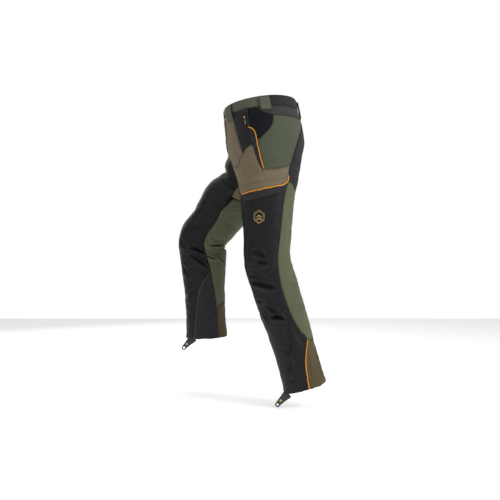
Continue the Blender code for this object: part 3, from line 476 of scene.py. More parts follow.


# ================================================================ fabrics
# Every cloth is a procedural weave on the piece's own UV map, which is in metres round and down
# the leg, so threads follow the cut. Colour drifts slowly and is speckled finely, and painted shade
# darkens it into the seams' creases, whose distance each panel carries in an attribute.


def fabric(
    name, colour, thread, bump, rough=0.92, sheen=0.06, relief="plain", speckle=0.2, contrast=0.15
):
    """A cloth's material. thread is the weave's pitch in metres."""
    material = bpy.data.materials.new(name)
    material.use_nodes = True
    tree = material.node_tree
    nodes, links = tree.nodes, tree.links
    shader = nodes["Principled BSDF"]
    shader.inputs["Roughness"].default_value = rough
    shader.inputs["Sheen Weight"].default_value = sheen
    shader.inputs["Sheen Roughness"].default_value = 0.5
    shader.inputs["Specular IOR Level"].default_value = 0.22

    def node(kind, **values):
        made = nodes.new(kind)
        for key, value in values.items():
            setattr(made, key, value)
        return made

    def maths(operation, first, second):
        made = node("ShaderNodeMath", operation=operation)
        for socket, value in zip(made.inputs, (first, second)):
            if isinstance(value, (int, float)):
                socket.default_value = value
            else:
                links.new(value, socket)
        return made.outputs[0]

    uv = node("ShaderNodeUVMap", uv_map="UVMap").outputs[0]

    def wave(turn, pitch, distortion=0.0):
        mapping = node("ShaderNodeMapping")
        mapping.inputs["Rotation"].default_value = (0.0, 0.0, math.radians(turn))
        links.new(uv, mapping.inputs["Vector"])
        bands = node("ShaderNodeTexWave")
        bands.inputs["Scale"].default_value = math.pi / 10.0 / pitch
        bands.inputs["Distortion"].default_value = distortion
        links.new(mapping.outputs[0], bands.inputs["Vector"])
        return bands.outputs["Fac"]

    if relief == "honeycomb":
        cells = node("ShaderNodeTexVoronoi", feature="DISTANCE_TO_EDGE")
        cells.inputs["Scale"].default_value = 1.0 / thread
        cells.inputs["Randomness"].default_value = 0.18
        links.new(uv, cells.inputs["Vector"])
        height = maths("MINIMUM", maths("MULTIPLY", cells.outputs["Distance"], 4.0), 1.0)
        fine = wave(45.0, thread / 5.0)
        height = maths("SUBTRACT", maths("MULTIPLY", fine, 0.2), height)
    elif relief == "ribs":
        ribs = wave(-38.0, thread * 3.0, 0.4)
        height = maths("MULTIPLY", ribs, maths("ADD", 0.6, maths("MULTIPLY", wave(90.0, thread), 0.4)))
    elif relief == "grid":
        lines = maths("MAXIMUM", wave(0.0, thread * 5.0), wave(90.0, thread * 5.0))
        lines = maths("POWER", lines, 14.0)
        height = maths("ADD", lines, maths("MULTIPLY", wave(45.0, thread), 0.25))
    elif relief == "twill":
        height = maths("ADD", wave(32.0, thread), maths("MULTIPLY", wave(90.0, thread * 0.5), 0.3))
    else:
        height = maths("MULTIPLY", wave(0.0, thread), wave(90.0, thread))

    def noise(scale, detail):
        made = node("ShaderNodeTexNoise")
        made.inputs["Scale"].default_value = scale
        made.inputs["Detail"].default_value = detail
        links.new(uv, made.inputs["Vector"])
        return made.outputs["Fac"]

    def tint(before, factor, low, high):
        """Multiply a colour by a grey that runs from low to high."""
        ramp = node("ShaderNodeMapRange")
        links.new(factor, ramp.inputs["Value"])
        ramp.inputs["To Min"].default_value, ramp.inputs["To Max"].default_value = low, high
        mix = node("ShaderNodeVectorMath", operation="SCALE")
        links.new(before, mix.inputs[0])
        links.new(ramp.outputs[0], mix.inputs["Scale"])
        return mix.outputs[0]

    base = node("ShaderNodeRGB")
    base.outputs[0].default_value = (*colour, 1.0)
    seam = node("ShaderNodeAttribute", attribute_name="seam").outputs["Fac"]
    tone = tint(base.outputs[0], noise(9.0, 3.0), 0.86, 1.14)
    tone = tint(tone, noise(700.0, 2.0), 1.0 - speckle, 1.0 + speckle)
    tone = tint(tone, height, 1.0 - contrast, 1.0 + contrast)
    # painted shade: the colour darkens to 72 % next to each seam, as in the shade of its crease
    tone = tint(tone, seam, 1.0, 0.72)
    links.new(tone, shader.inputs["Base Color"])
    relief_node = node("ShaderNodeBump")
    relief_node.inputs["Strength"].default_value = 1.0
    relief_node.inputs["Distance"].default_value = bump
    links.new(height, relief_node.inputs["Height"])
    links.new(relief_node.outputs[0], shader.inputs["Normal"])
    return material


CLOTHS = {
    "pocket_side": fabric("pocket_black", (0.0050, 0.0055, 0.0085), 0.0013, 0.00018, sheen=0.0),
    "brown_stretch": fabric("brown_stretch", (0.160, 0.128, 0.080), 0.0014, 0.00022, relief="twill"),
    "calf_brown": fabric("calf_brown", (0.088, 0.067, 0.033), 0.0016, 0.00030, relief="twill"),
    "hip_green": fabric("hip_green", (0.073, 0.084, 0.055), 0.0013, 0.00018),
    "leg_green": fabric("leg_green", (0.104, 0.115, 0.066), 0.0013, 0.00018),
    "waist_green": fabric("waist_green", (0.088, 0.098, 0.066), 0.0018, 0.00030, relief="twill"),
    "black_stretch": fabric("black_stretch", (0.019, 0.018, 0.021), 0.0013, 0.00018),
    "black_shell": fabric(
        "black_shell", (0.0075, 0.0073, 0.0090), 0.0010, 0.00016, rough=0.5, sheen=0.0, relief="grid"
    ),
    "navy_mesh": fabric(
        "navy_mesh", (0.080, 0.082, 0.096), 0.0080, 0.0012, relief="honeycomb", contrast=0.7
    ),
    "grey_knit": fabric(
        "grey_knit", (0.042, 0.041, 0.038), 0.0016, 0.0012, relief="ribs", contrast=0.6
    ),
    "protective_felt": fabric(
        "protective_felt", (0.60, 0.60, 0.56), 0.0012, 0.0004, rough=0.98, speckle=0.08
    ),
}

# ================================================================ sewn panels
# The panels are cut along the seams that two of them share, filled with a fine net, laid on the
# cloth's surface, drawn down into their seams and given the cloth's thickness. Each crosses at
# most one joint: panels that run through a hip or a knee end where its bend ends.

THIGH_END = 1.66  # the hip's bend is over, and the knee's has not begun
SHIN_START = 2.42  # the knee's bend is over
BAND = 0.040 / RISE
NET = 0.0042  # spacing of the net
CLOTH = 0.0015  # thickness
SEAM_DEPTH, SEAM_WIDTH = 0.0013, 0.0026

SEAMS = {
    "waist_front": ((90, 0), (193, 0)),
    "waist_back": ((193, 0), (270, 0)),
    "band_join": ((193, 0), (193, BAND)),
    "band_front": ((90, BAND), (193, BAND)),
    "band_back": ((193, BAND), (270, BAND)),
    "front_top": ((90, BAND), (130, BAND)),
    "pocket_top": ((130, BAND), (153, BAND)),
    "zip_top": ((153, BAND), (158, BAND)),
    "pocket_side_top": ((158, BAND), (172, BAND)),
    "yoke_top": ((172, BAND), (270, BAND)),
    "pocket_front_edge": ((130, BAND), (131, 0.275), (136, 0.51), (142, 0.725)),
    "pocket_front_hem": ((142, 0.725), (148, 0.675), (155, 0.64), (161, 0.625)),
    "zip_front_upper": ((153, BAND), (156, 0.395), (158, 0.525), (161, 0.625)),
    "zip_front_lower": ((161, 0.625), (164, 0.76), (167, 0.86), (172, 0.945)),
    "zip_end": ((172, 0.945), (175, 0.935)),
    "zip_back_upper": ((158, BAND), (158, 0.35), (163, 0.42), (168, 0.58)),
    "zip_back_lower": ((168, 0.58), (170, 0.7), (172, 0.825), (175, 0.935)),
    "yoke_side": ((172, BAND), (181, 0.21), (195, 0.26)),
    "yoke_hem": ((195, 0.26), (262, 0.27)),
    "yoke_centre": ((262, 0.27), (270, 0.27)),
    "pocket_side_edge": ((195, 0.26), (192, 0.36), (184, 0.455), (168, 0.58)),
    "front_hem": ((88, 0.72), (104, 0.855), (118, 0.875), (130, 0.81), (142, 0.725)),
    "hip_hem": ((175, 0.935), (195, 0.925), (222, 0.88)),
    "hip_back": ((262, 0.27), (249, 0.37), (234, 0.525), (227, 0.725), (224, 0.825)),
    "hip_back_lower": ((224, 0.825), (222, 0.88)),
    "side_back": ((222, 0.88), (220, 1.0), (221, 1.08)),
    "cargo": ((221, 1.08), (200, 1.13), (162, 1.175), (113, 1.22)),
    "cargo_end": ((113, 1.22), (104, 1.22)),
    "groin_outer": ((88, 0.72), (90, 1.015), (97, 1.165), (104, 1.22)),
    "groin_hem": ((104, 1.22), (42, 1.225)),
    "vent_end": ((113, 1.22), (116, 1.295)),
    "vent_hem": ((116, 1.295), (138, 1.3), (172, 1.265), (218, 1.185)),
    "vent_back": ((221, 1.08), (218, 1.185)),
    "outer": (
        (218, 1.185), (216, 1.295), (213, 1.475), (209, 1.77), (204, 2.015), (196, 2.155),
        (194, 2.23), (197, 2.385), (208, 2.54), (227, 2.64),
    ),
    "calf_edge": ((227, 2.64), (211, 2.735), (199, 2.84), (192, 3)),
    "thigh_inner_upper": ((42, 1.225), (30, 1.345)),
    "inner": (
        (30, 1.345), (14, 1.495), (2, 1.635), (-1, 1.77), (-4, 1.965), (-6, 2.155), (-9, 2.31),
        (-19, 2.47),
    ),
    "gusset_front": ((-19, 2.47), (1, 2.53), (17, 2.605), (28, 2.74), (39, 3)),
    "gusset_back": ((-19, 2.47), (-28, 2.605), (-36, 2.75)),
    "gusset_edge": ((-36, 2.75), (-36, 3)),
    "calf_hem": ((227, 2.64), (266, 2.68), (295, 2.715), (324, 2.75)),
    "seat_hem": ((221, 1.08), (233, 1.09), (250, 1.15), (280, 1.195), (300, 1.245)),
    "inner_thigh_hem": ((300, 1.245), (330, 1.325), (370, 1.34), (390, 1.345)),
    "hem_shin": ((39, 3), (192, 3)),
    "hem_gusset": ((-36, 3), (39, 3)),
    "hem_calf": ((192, 3), (324, 3)),
}


def middle_seam(start, end, back=False):
    """The seam between the two legs, from one level to another."""
    steps = max(2, round(abs(drop(end) - drop(start)) / NET))
    level = start + (end - start) * np.arange(steps + 1) / steps
    if 1.0 in (start, end):
        level = 1.0 + (start + end - 2.0) * np.linspace(0, 1, 2 * steps) ** 2
        level = level if start == 1.0 else level[::-1]
    angle = middle_angle(level)
    return np.stack([360.0 - angle if back else angle, level], axis=-1)


def part_at(path, level):
    """A path cut in two where it crosses a level."""
    i = int(np.flatnonzero((path[:-1, 1] - level) * (path[1:, 1] - level) < 0)[0])
    share = (level - path[i, 1]) / (path[i + 1, 1] - path[i, 1])
    spot = path[i] + share * (path[i + 1] - path[i])
    spot[1] = level
    return np.vstack([path[: i + 1], spot]), np.vstack([spot, path[i + 1 :]])


SEAM = {name: smooth_path(points, NET) for name, points in SEAMS.items()}
for name in ("outer", "inner"):
    SEAM[f"{name}_thigh"], rest = part_at(SEAM.pop(name), THIGH_END)
    SEAM[f"{name}_knee"], SEAM[f"{name}_shin"] = part_at(rest, SHIN_START)
for name, level in (("thigh_end", THIGH_END), ("shin_start", SHIN_START)):
    zone = "knee" if level == THIGH_END else "shin"
    inner_end, outer_end = (SEAM[f"{edge}_{zone}"][0] for edge in ("inner", "outer"))
    SEAM[f"{name}_front"] = smooth_path((inner_end, outer_end), NET)
    SEAM[f"{name}_back"] = smooth_path((outer_end, inner_end + (360.0, 0.0)), NET)
SEAM["middle_front"] = middle_seam(BAND, 0.70)
SEAM["middle_groin"] = middle_seam(0.70, 0.875)
SEAM["middle_crotch"] = middle_seam(0.875, 1.0)
SEAM["middle_crotch_back"] = middle_seam(1.0, 0.885, back=True)
SEAM["middle_under_seat"] = middle_seam(0.885, 0.825, back=True)
SEAM["middle_seat"] = middle_seam(0.825, 0.27, back=True)
SEAM["middle_yoke"] = middle_seam(0.27, BAND, back=True)
SEAM["middle_band_back"] = middle_seam(BAND, 0.0, back=True)
SEAM["middle_band_front"] = middle_seam(0.0, BAND)
SEAM["front_hem_middle"] = smooth_path((SEAM["middle_front"][-1], (88, 0.72)), NET)
SEAM["groin_inner"] = smooth_path(((42, 1.225), (46, 1.05), SEAM["middle_groin"][-1]), NET)
SEAM["inner_thigh_back"] = smooth_path(
    ((300, 1.245), (304, 1.05), SEAM["middle_crotch_back"][-1]), NET
)
SEAM["under_seat_top"] = smooth_path(((224, 0.825), SEAM["middle_seat"][0]), NET)


def outline(names):
    """A closed outline from seams that follow one another, each turned the right way round."""

    def same(p, q):
        return abs((p[0] - q[0] + 180) % 360 - 180) < 0.01 and abs(p[1] - q[1]) < 0.001

    names = names.split()
    chain = SEAM[names[0]]
    if not any(same(chain[-1], end) for end in (SEAM[names[1]][0], SEAM[names[1]][-1])):
        chain = chain[::-1]
    for name in names[1:]:
        piece = SEAM[name] if same(chain[-1], SEAM[name][0]) else SEAM[name][::-1]
        if not same(chain[-1], piece[0]):
            raise ValueError(f"seam {name} does not follow on")
        turns = round((chain[-1][0] - piece[0][0]) / 360.0)
        chain = np.vstack([chain, piece[1:] + (360.0 * turns, 0.0)])
    return chain[:-1]


def filled(points, step=NET):
    """Triangles that fill an outline in angle and level, and each point's distance to its edge."""
    flat = flatten(points[:, 0], points[:, 1])
    after = np.roll(flat, -1, axis=0)
    low, high = flat.min(0), flat.max(0)
    inside = []
    for row, height in enumerate(np.arange(low[1] + step, high[1], step * 0.9)):
        crossing = (flat[:, 1] > height) != (after[:, 1] > height)
        a, b = flat[crossing], after[crossing]
        runs = np.sort(a[:, 0] + (b[:, 0] - a[:, 0]) * (height - a[:, 1]) / (b[:, 1] - a[:, 1]))
        for first, last in zip(runs[::2], runs[1::2]):
            start = math.ceil(first / step - 0.5 * (row % 2)) + 0.5 * (row % 2)
            across = np.arange(start * step, last, step)
            inside.append(np.stack([across, np.full(len(across), height)], axis=-1))
    inside = np.vstack(inside) if inside else np.zeros((0, 2))
    edge = np.vstack([flat, (flat + after) / 2])
    inside = inside[nearest(inside, edge)[0] > 0.45 * step] if len(inside) else inside
    flat = np.vstack([flat, inside])
    count = len(points)
    ring = [(i, (i + 1) % count) for i in range(count)]
    result = delaunay_2d_cdt([Vector(p) for p in flat.tolist()], ring, [], 1, 1e-7)
    flat = np.array([tuple(v) for v in result[0]])
    spots = np.stack([flat[:, 0] / ANGLE_LENGTH, level_at(-flat[:, 1])], axis=-1)
    spots[:count] = points
    return spots, [tuple(t) for t in result[2]], nearest(flat, edge)[0]


def linked(name, mesh, material):
    """An object of a mesh, alone selected and active."""
    piece = bpy.data.objects.new(name, mesh)
    bpy.context.scene.collection.objects.link(piece)
    mesh.materials.append(material)
    bpy.ops.object.select_all(action="DESELECT")
    piece.select_set(True)
    bpy.context.view_layer.objects.active = piece
    return piece


def thicken(piece, thickness):
    """Give a sheet its thickness, inwards."""
    cloth = piece.modifiers.new("cloth", "SOLIDIFY")
    cloth.thickness = thickness
    cloth.offset = -1.0
    bpy.ops.object.modifier_apply(modifier=cloth.name)


def lay(name, side, spots, triangles, place, material, edge=None, thickness=CLOTH):
    """A sheet of cloth from its net and the place of each of its points."""
    mesh = bpy.data.meshes.new(name)
    mesh.from_pydata(place.tolist(), [], triangles)
    if side == "right":
        mesh.flip_normals()
    mesh.shade_smooth()
    radius = section(spots[:, 1])[:, 1] * 0.5 + 0.05
    around = np.stack([np.radians(spots[:, 0] - 180.0) * radius, -drop(spots[:, 1])], axis=-1)
    corner = np.empty(len(mesh.loops), np.int32)
    mesh.loops.foreach_get("vertex_index", corner)
    mesh.uv_layers.new(name="UVMap").data.foreach_set("uv", around[corner].ravel())
    # painted seam shade: 1 at a seam and fading within a few millimetres; the fabric darkens the colour
    # by it
    shade = np.zeros(len(place)) if edge is None else np.exp(-((edge / 0.0035) ** 2))
    mesh.attributes.new("seam", "FLOAT", "POINT").data.foreach_set("value", shade)
    piece = linked(name, mesh, material)
    thicken(piece, thickness)
    return piece


HIP_BLEND = {
    "left": ((0.6, 0.007, -0.8), 0.2282, 0.4014),
    "right": ((-0.6, -0.338, -0.725), 0.2095, 0.3752),
}
KNEE_BLEND = {"left": ((0.0, 0.1392, -0.9903), 0.085), "right": ((0.0, -0.2823, -0.9593), 0.069)}


def follow(piece, side, zone):
    """Attach a piece of cloth to its zone's body at the waist or the shin; in the hip and knee zones
    only bake its placement into its mesh.
    """
    if zone == "hip":
        way, start, end = HIP_BLEND[side]
        way = Vector(way)
        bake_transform(piece)
    elif zone == "knee":
        way, reach = Vector(KNEE_BLEND[side][0]), KNEE_BLEND[side][1]
        knee = Vector(KNEE[side])
        start, end = knee - reach * way, knee + reach * way
        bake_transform(piece)
    else:
        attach(piece, {"waist": "pelvis", "shin": f"shin_{side}"}[zone])


PANELS = {
    "front_panel": (
        "brown_stretch", "hip",
        "front_top pocket_front_edge front_hem front_hem_middle middle_front",
    ),
    "pocket_front": (
        "black_stretch", "hip",
        "pocket_top zip_front_upper pocket_front_hem pocket_front_edge",
    ),
    "pocket_zip": (
        "navy_mesh", "hip",
        "zip_top zip_back_upper zip_back_lower zip_end zip_front_lower zip_front_upper",
    ),
    "pocket_side": (
        "black_stretch", "waist",
        "pocket_side_top yoke_side pocket_side_edge zip_back_upper",
    ),
    "hip_panel": (
        "hip_green", "hip",
        "yoke_hem hip_back hip_back_lower hip_hem zip_back_lower pocket_side_edge",
    ),
    "seat": ("black_stretch", "hip", "yoke_centre middle_seat under_seat_top hip_back"),
    "under_seat": (
        "black_stretch", "hip",
        "under_seat_top middle_under_seat inner_thigh_back seat_hem side_back hip_back_lower",
    ),
    "side_panel": (
        "brown_stretch", "hip",
        "front_hem pocket_front_hem zip_front_lower zip_end hip_hem side_back cargo cargo_end"
        " groin_outer",
    ),
    "vent_mesh": ("navy_mesh", "hip", "cargo vent_back vent_hem vent_end"),
    "groin_front": (
        "black_shell", "hip",
        "front_hem_middle groin_outer groin_hem groin_inner middle_groin",
    ),
    "inner_thigh": (
        "brown_stretch", "hip",
        "middle_crotch middle_crotch_back inner_thigh_back inner_thigh_hem thigh_inner_upper"
        " groin_inner",
    ),
    "thigh_front": (
        "black_shell", "hip",
        "groin_hem cargo_end vent_end vent_hem outer_thigh thigh_end_front inner_thigh"
        " thigh_inner_upper",
    ),
    "back_thigh": (
        "leg_green", "hip",
        "seat_hem inner_thigh_hem inner_thigh thigh_end_back outer_thigh vent_back",
    ),
    "knee_front": (
        "black_shell", "knee", "thigh_end_front outer_knee shin_start_front inner_knee",
    ),
    "back_knee": ("leg_green", "knee", "thigh_end_back inner_knee shin_start_back outer_knee"),
    "shin_front": (
        "black_shell", "shin",
        "shin_start_front outer_shin calf_edge hem_shin gusset_front inner_shin",
    ),
    "back_calf": (
        "leg_green", "shin", "shin_start_back inner_shin gusset_back calf_hem outer_shin",
    ),
    "inner_gusset": ("navy_mesh", "shin", "gusset_front hem_gusset gusset_edge gusset_back"),
    "hem_panel": ("calf_brown", "shin", "calf_hem gusset_edge hem_calf calf_edge"),
}
UNSEEN_JOINS = [SEAM[f"{a}_{b}"] for a in ("thigh_end", "shin_start") for b in ("front", "back")]
HEM_TURN = 0.018  # depth of the turned-up hem


def sewn_lift(spots, edge):
    """Down into the seams, with a slight pucker beside them; the hem's turn is doubled cloth."""
    joins = np.vstack([flatten(*path.T) for path in UNSEEN_JOINS])
    flat = flatten(*spots.T)
    for turn in (-360.0, 360.0):
        joins = np.vstack([joins, joins[: len(joins)] + (turn * ANGLE_LENGTH, 0.0)])
    unseen = nearest(flat, joins)[0] < np.minimum(edge + 1e-4, 0.02)
    # no seam dent and no painted seam shade along the hidden joins between zones
    edge = np.where(unseen, 0.02, edge)
    pucker = 0.00035 * np.sin(flat[:, 0] * 640) * np.sin(flat[:, 1] * 700)
    pucker = pucker * np.exp(-(((edge - 0.006) / 0.005) ** 2))
    hem = 0.0009 * ease((drop(spots[:, 1]) - OUTSEAM + HEM_TURN) / 0.002)
    return pucker + hem - SEAM_DEPTH * np.exp(-((edge / SEAM_WIDTH) ** 2)), edge


for side in SIDES:
    for name, (look, zone, seams) in PANELS.items():
        spots, triangles, edge = filled(outline(seams))
        lift, edge = sewn_lift(spots, edge)
        place = surface(side, spots[:, 0], spots[:, 1], lift)[0]
        cloth = CLOTHS.get(name, CLOTHS[look])
        piece = lay(f"sewn_{name}_{side}", side, spots, triangles, place, cloth, edge)
        follow(piece, side, zone)
        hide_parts(f"{name}_{side}")


# ================================================================ waistband and yoke
# The band is doubled cloth: green in front, black behind. The grey ribbed yoke is sewn below it
# at the back, and a lining strip with grip tape runs round inside.

BAND_CLOTH = 0.0042


def band_lift(spots, edge):
    """Rounded edges, two stitched lines and a soft, padded middle."""
    depth = drop(spots[:, 1])
    lines = np.minimum(np.abs(depth - 0.0032), np.abs(depth - 0.0368))
    return -0.0016 * np.exp(-((edge / 0.0022) ** 2)) - 0.0005 * np.exp(-((lines / 0.0014) ** 2))


def upper_cloth(name, side, seams, look, node, thickness, lift, mirrored=False):
    """A panel of the waist, which keeps its shape; a mirrored one covers both sides."""
    spots, triangles, edge = filled(outline(seams))
    place = surface(side, spots[:, 0], spots[:, 1], lift(spots, edge))[0]
    if mirrored:
        count = len(spots)
        middle = np.abs(place[:, 0]) < 1e-5
        other = np.where(middle, np.arange(count), np.arange(count) + count)
        place = np.vstack([place, place * (-1.0, 1.0, 1.0)])
        triangles = triangles + [tuple(int(other[i]) for i in t[::-1]) for t in triangles]
        spots = np.vstack([spots, spots * (-1.0, 1.0) + (540.0, 0.0)])
        # no painted seam shade where the two mirrored halves meet
        edge = np.where(middle, 0.02, edge)
        edge = np.hstack([edge, edge])
        used, packed = np.unique(np.array(triangles), return_inverse=True)
        place, spots, edge = place[used], spots[used], edge[used]
        triangles = packed.reshape(-1, 3).tolist()
    piece = lay(name, side, spots, triangles, place, CLOTHS[look], edge, thickness)
    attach(piece, "pelvis")
    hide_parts(node)
    return piece


for side in SIDES:
    seams = "waist_front band_join band_front middle_band_front"
    node = f"waistband_front_{side}"
    upper_cloth(f"sewn_{node}", side, seams, "waist_green", node, BAND_CLOTH, band_lift)
seams = "waist_back middle_band_back band_back band_join"
upper_cloth(
    "sewn_waistband_back", "left", seams, "black_stretch", "waistband_back", BAND_CLOTH,
    band_lift, mirrored=True,
)
upper_cloth(
    "sewn_back_yoke", "left", "yoke_top middle_yoke yoke_centre yoke_hem yoke_side", "grey_knit",
    "back_yoke", CLOTH, lambda spots, edge: sewn_lift(spots, edge)[0], mirrored=True,
)


def strip(name, side, angles, levels, lift, look, thickness, across=40, down=8):
    """A strip of cloth between two angles and two levels, standing a distance off the surface."""
    angle, level = np.meshgrid(
        np.linspace(*angles, across + 1), np.linspace(*levels, down + 1), indexing="ij"
    )
    index = np.arange(angle.size).reshape(angle.shape)
    quads = np.stack([index[:-1, :-1], index[1:, :-1], index[1:, 1:], index[:-1, 1:]], axis=-1)
    quads = quads[..., ::-1].reshape(-1, 4).tolist()
    spots = np.stack([angle.ravel(), level.ravel()], axis=-1)
    place = surface(side, spots[:, 0], spots[:, 1], lift)[0]
    piece = lay(name, side, spots, quads, place, look, None, thickness)
    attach(piece, "pelvis")
    return piece


GRIP = fabric("grip_tape", (0.030, 0.030, 0.032), 0.0022, 0.0006, rough=0.5, relief="ribs")
LINING = fabric("lining", (0.055, 0.056, 0.052), 0.0012, 0.0002)
for side in SIDES:
    for name, levels, lift, look, slot in (
        ("band_lining", (0.010, 0.190), -BAND_CLOTH - 0.0006, LINING, "grey_knit"),
        ("grip_tape", (0.035, 0.110), -BAND_CLOTH - 0.0019, GRIP, "black_stretch"),
    ):
        piece = strip(f"{name}_{side}", side, (91.0, 269.0), levels, lift, look, 0.0008, 120, 6)

# ================================================================ thread
# Each stitch is a short spindle lying on the cloth; a row of them is one piece with its zone.


def solid_look(name, colour, rough=0.6, metal=0.0, bump=0.0):
    """A plain material, with a fine grain where bump is given in metres."""
    material = bpy.data.materials.new(name)
    material.use_nodes = True
    nodes, links = material.node_tree.nodes, material.node_tree.links
    shader = nodes["Principled BSDF"]
    shader.inputs["Base Color"].default_value = (*colour, 1.0)
    shader.inputs["Roughness"].default_value = rough
    shader.inputs["Metallic"].default_value = metal
    if bump:
        place = nodes.new("ShaderNodeTexCoord")
        grain = nodes.new("ShaderNodeTexNoise")
        grain.inputs["Scale"].default_value = 900.0
        links.new(place.outputs["Object"], grain.inputs["Vector"])
        relief = nodes.new("ShaderNodeBump")
        relief.inputs["Distance"].default_value = bump
        links.new(grain.outputs["Fac"], relief.inputs["Height"])
        links.new(relief.outputs[0], shader.inputs["Normal"])
    return material


THREAD = {
    "dark": solid_look("thread_dark", (0.006, 0.006, 0.007)),
    "brown": solid_look("thread_brown", (0.020, 0.017, 0.012)),
    "green": solid_look("thread_green", (0.028, 0.033, 0.020)),
    "gold": solid_look("thread_gold", (0.78, 0.58, 0.20), 0.4),
}
PITCH, STITCH, THREAD_RADIUS = 0.0038, 0.0029, 0.00034


def along_path(side, points, lift, pitch=PITCH):
    """Places, ways along and ways out, evenly spaced on the surface along a path."""
    path = smooth_path(points, 0.002)
    place, _, _, out = surface(side, path[:, 0], path[:, 1], lift)
    length = np.concatenate([[0.0], np.cumsum(np.linalg.norm(np.diff(place, axis=0), axis=1))])
    spots = np.arange(pitch / 2, length[-1], pitch)
    at = np.stack([np.interp(spots, length, place[:, k]) for k in range(3)], axis=-1)
    normal = np.stack([np.interp(spots, length, out[:, k]) for k in range(3)], axis=-1)
    way = np.gradient(at, axis=0) if len(at) > 1 else np.array([place[-1] - place[0]])
    way /= np.linalg.norm(way, axis=-1, keepdims=True)
    normal /= np.linalg.norm(normal, axis=-1, keepdims=True)
    return at, way, normal


def stitches(at, way, out, radius=THREAD_RADIUS, length=STITCH):
    """The corners and faces of a row of spindle-shaped stitches."""
    side_way = np.cross(way, out)
    rings = ((-0.5, 0.12), (-0.28, 0.9), (0.28, 0.9), (0.5, 0.12))
    corners, faces = [], []
    for share, size in rings:
        for turn in (0.0, 0.25, 0.5, 0.75):
            a = math.tau * turn
            corners.append(
                at + way * share * length + radius * size * (side_way * math.cos(a) + out * math.sin(a))
            )
    corners = np.stack(corners, axis=1).reshape(-1, 3)
    for ring in range(3):
        for k in range(4):
            a, b = ring * 4 + k, ring * 4 + (k + 1) % 4
            faces.append((a, b, b + 4, a + 4))
    faces += [(3, 2, 1, 0), (12, 13, 14, 15)]
    base = np.arange(len(at))[:, None, None] * 16
    return corners, (base + np.array(faces)[None]).reshape(-1, 4)


def sewn_rows(name, side, zone, rows, look, radius=THREAD_RADIUS, lift=0.0001):
    """Rows of stitches that belong to one zone of a leg, as one piece."""
    corners, faces, count = [], [], 0
    for points in rows:
        c, f = stitches(*along_path(side, points, lift), radius)
        corners.append(c)
        faces.append(f + count)
        count += len(c)
    mesh = bpy.data.meshes.new(name)
    mesh.from_pydata(np.vstack(corners).tolist(), [], np.vstack(faces).tolist())
    mesh.shade_smooth()
    piece = linked(name, mesh, THREAD[look])
    follow(piece, side, zone)
    return piece


def beside(path, distance):
    """A path moved sideways by a distance in metres."""
    path = np.array(path, float)
    flat = flatten(*path.T)
    way = np.gradient(flat, axis=0)
    way /= np.linalg.norm(way, axis=-1, keepdims=True)
    flat = flat + distance * np.stack([way[:, 1], -way[:, 0]], axis=-1)
    moved = np.stack([flat[:, 0] / ANGLE_LENGTH, level_at(-flat[:, 1])], axis=-1)
    return moved[:: max(1, len(moved) // 12)]


TOP_STITCH = 0.0042
ROWS_OF = {
    "waist": (
        ("dark", "waist_green", [((91, 0.0032 / RISE), (193, 0.0032 / RISE)),
                                 ((91, 0.0368 / RISE), (193, 0.0368 / RISE))]),
        ("dark", "grey_knit", [((172, BAND + 0.012), (269, BAND + 0.012)),
                               ((196, 0.248), (262, 0.258))]),
    ),
    "hip": (
        ("dark", "brown_stretch", [
            ((115, 1.144), (148, 1.095), (188, 1.056), (216, 1.013)),
            ((115, 1.158), (148, 1.110), (188, 1.071), (216, 1.028)),
        ]),
        ("brown", "brown_stretch", [
            beside(SEAM["front_hem"], 0.005), beside(SEAM["pocket_front_hem"], 0.005),
            beside(SEAM["hip_hem"], TOP_STITCH), beside(SEAM["side_back"], TOP_STITCH),
        ]),
        ("dark", "black_stretch", [
            beside(SEAM["pocket_front_edge"], -TOP_STITCH),
            beside(SEAM["hip_back"], -TOP_STITCH), beside(SEAM["under_seat_top"], TOP_STITCH),
        ]),
        ("green", "hip_green", [beside(SEAM["hip_back"], TOP_STITCH)]),
        ("dark", "black_shell", [
            beside(SEAM["vent_hem"], TOP_STITCH), beside(SEAM["outer_thigh"], TOP_STITCH),
            beside(SEAM["groin_hem"], TOP_STITCH),
        ]),
        ("green", "leg_green", [
            beside(SEAM["seat_hem"], TOP_STITCH), beside(SEAM["inner_thigh_hem"], TOP_STITCH),
        ]),
    ),
    "knee": (
        ("dark", "black_shell", [
            ((148, 2.064), (162, 2.068), (176, 2.083)),
            ((130, 2.252), (150, 2.262), (174, 2.283)),
            beside(SEAM["outer_knee"], TOP_STITCH),
        ]),
        ("dark", "leg_green", [
            *((((199, 2.200 + d), (257, 2.243 + d), (310, 2.235 + d), (350, 2.200 + d)))
              for d in (-0.008, 0.008)),
            *((((199, 2.366 + d), (266, 2.405 + d), (310, 2.405 + d), (345, 2.390 + d)))
              for d in (-0.008, 0.008)),
        ]),
    ),
    "shin": (
        ("dark", "black_shell", [
            beside(SEAM["outer_shin"], TOP_STITCH), beside(SEAM["calf_edge"], 0.0055),
            ((40, 2.963), (90, 2.963), (140, 2.963), (189, 2.963)),
        ]),
        ("dark", "navy_mesh", [((-34, 2.963), (37, 2.963)), beside(SEAM["gusset_back"], 0.004)]),
        ("brown", "calf_brown", [
            ((195, 2.963), (260, 2.963), (321, 2.963)), beside(SEAM["calf_hem"], TOP_STITCH),
        ]),
    ),
}
for side in SIDES:
    for zone, rows in ROWS_OF.items():
        for number, (look, slot, paths) in enumerate(rows):
            sewn_rows(f"stitching_{zone}_{number}_{side}", side, zone, paths, look)

# ================================================================ piping
# Orange cord piping edges the pocket, the cargo line and the calf; a thinner rust one edges the
# gusset. Each is a flattened tube laid along its seam.

PIPING = {
    "orange": solid_look("piping_orange", (0.66, 0.24, 0.006), 0.6),
    "rust": solid_look("piping_rust", (0.17, 0.062, 0.026), 0.6),
    "navy": solid_look("zip_tape", (0.012, 0.013, 0.020), 0.8),
}


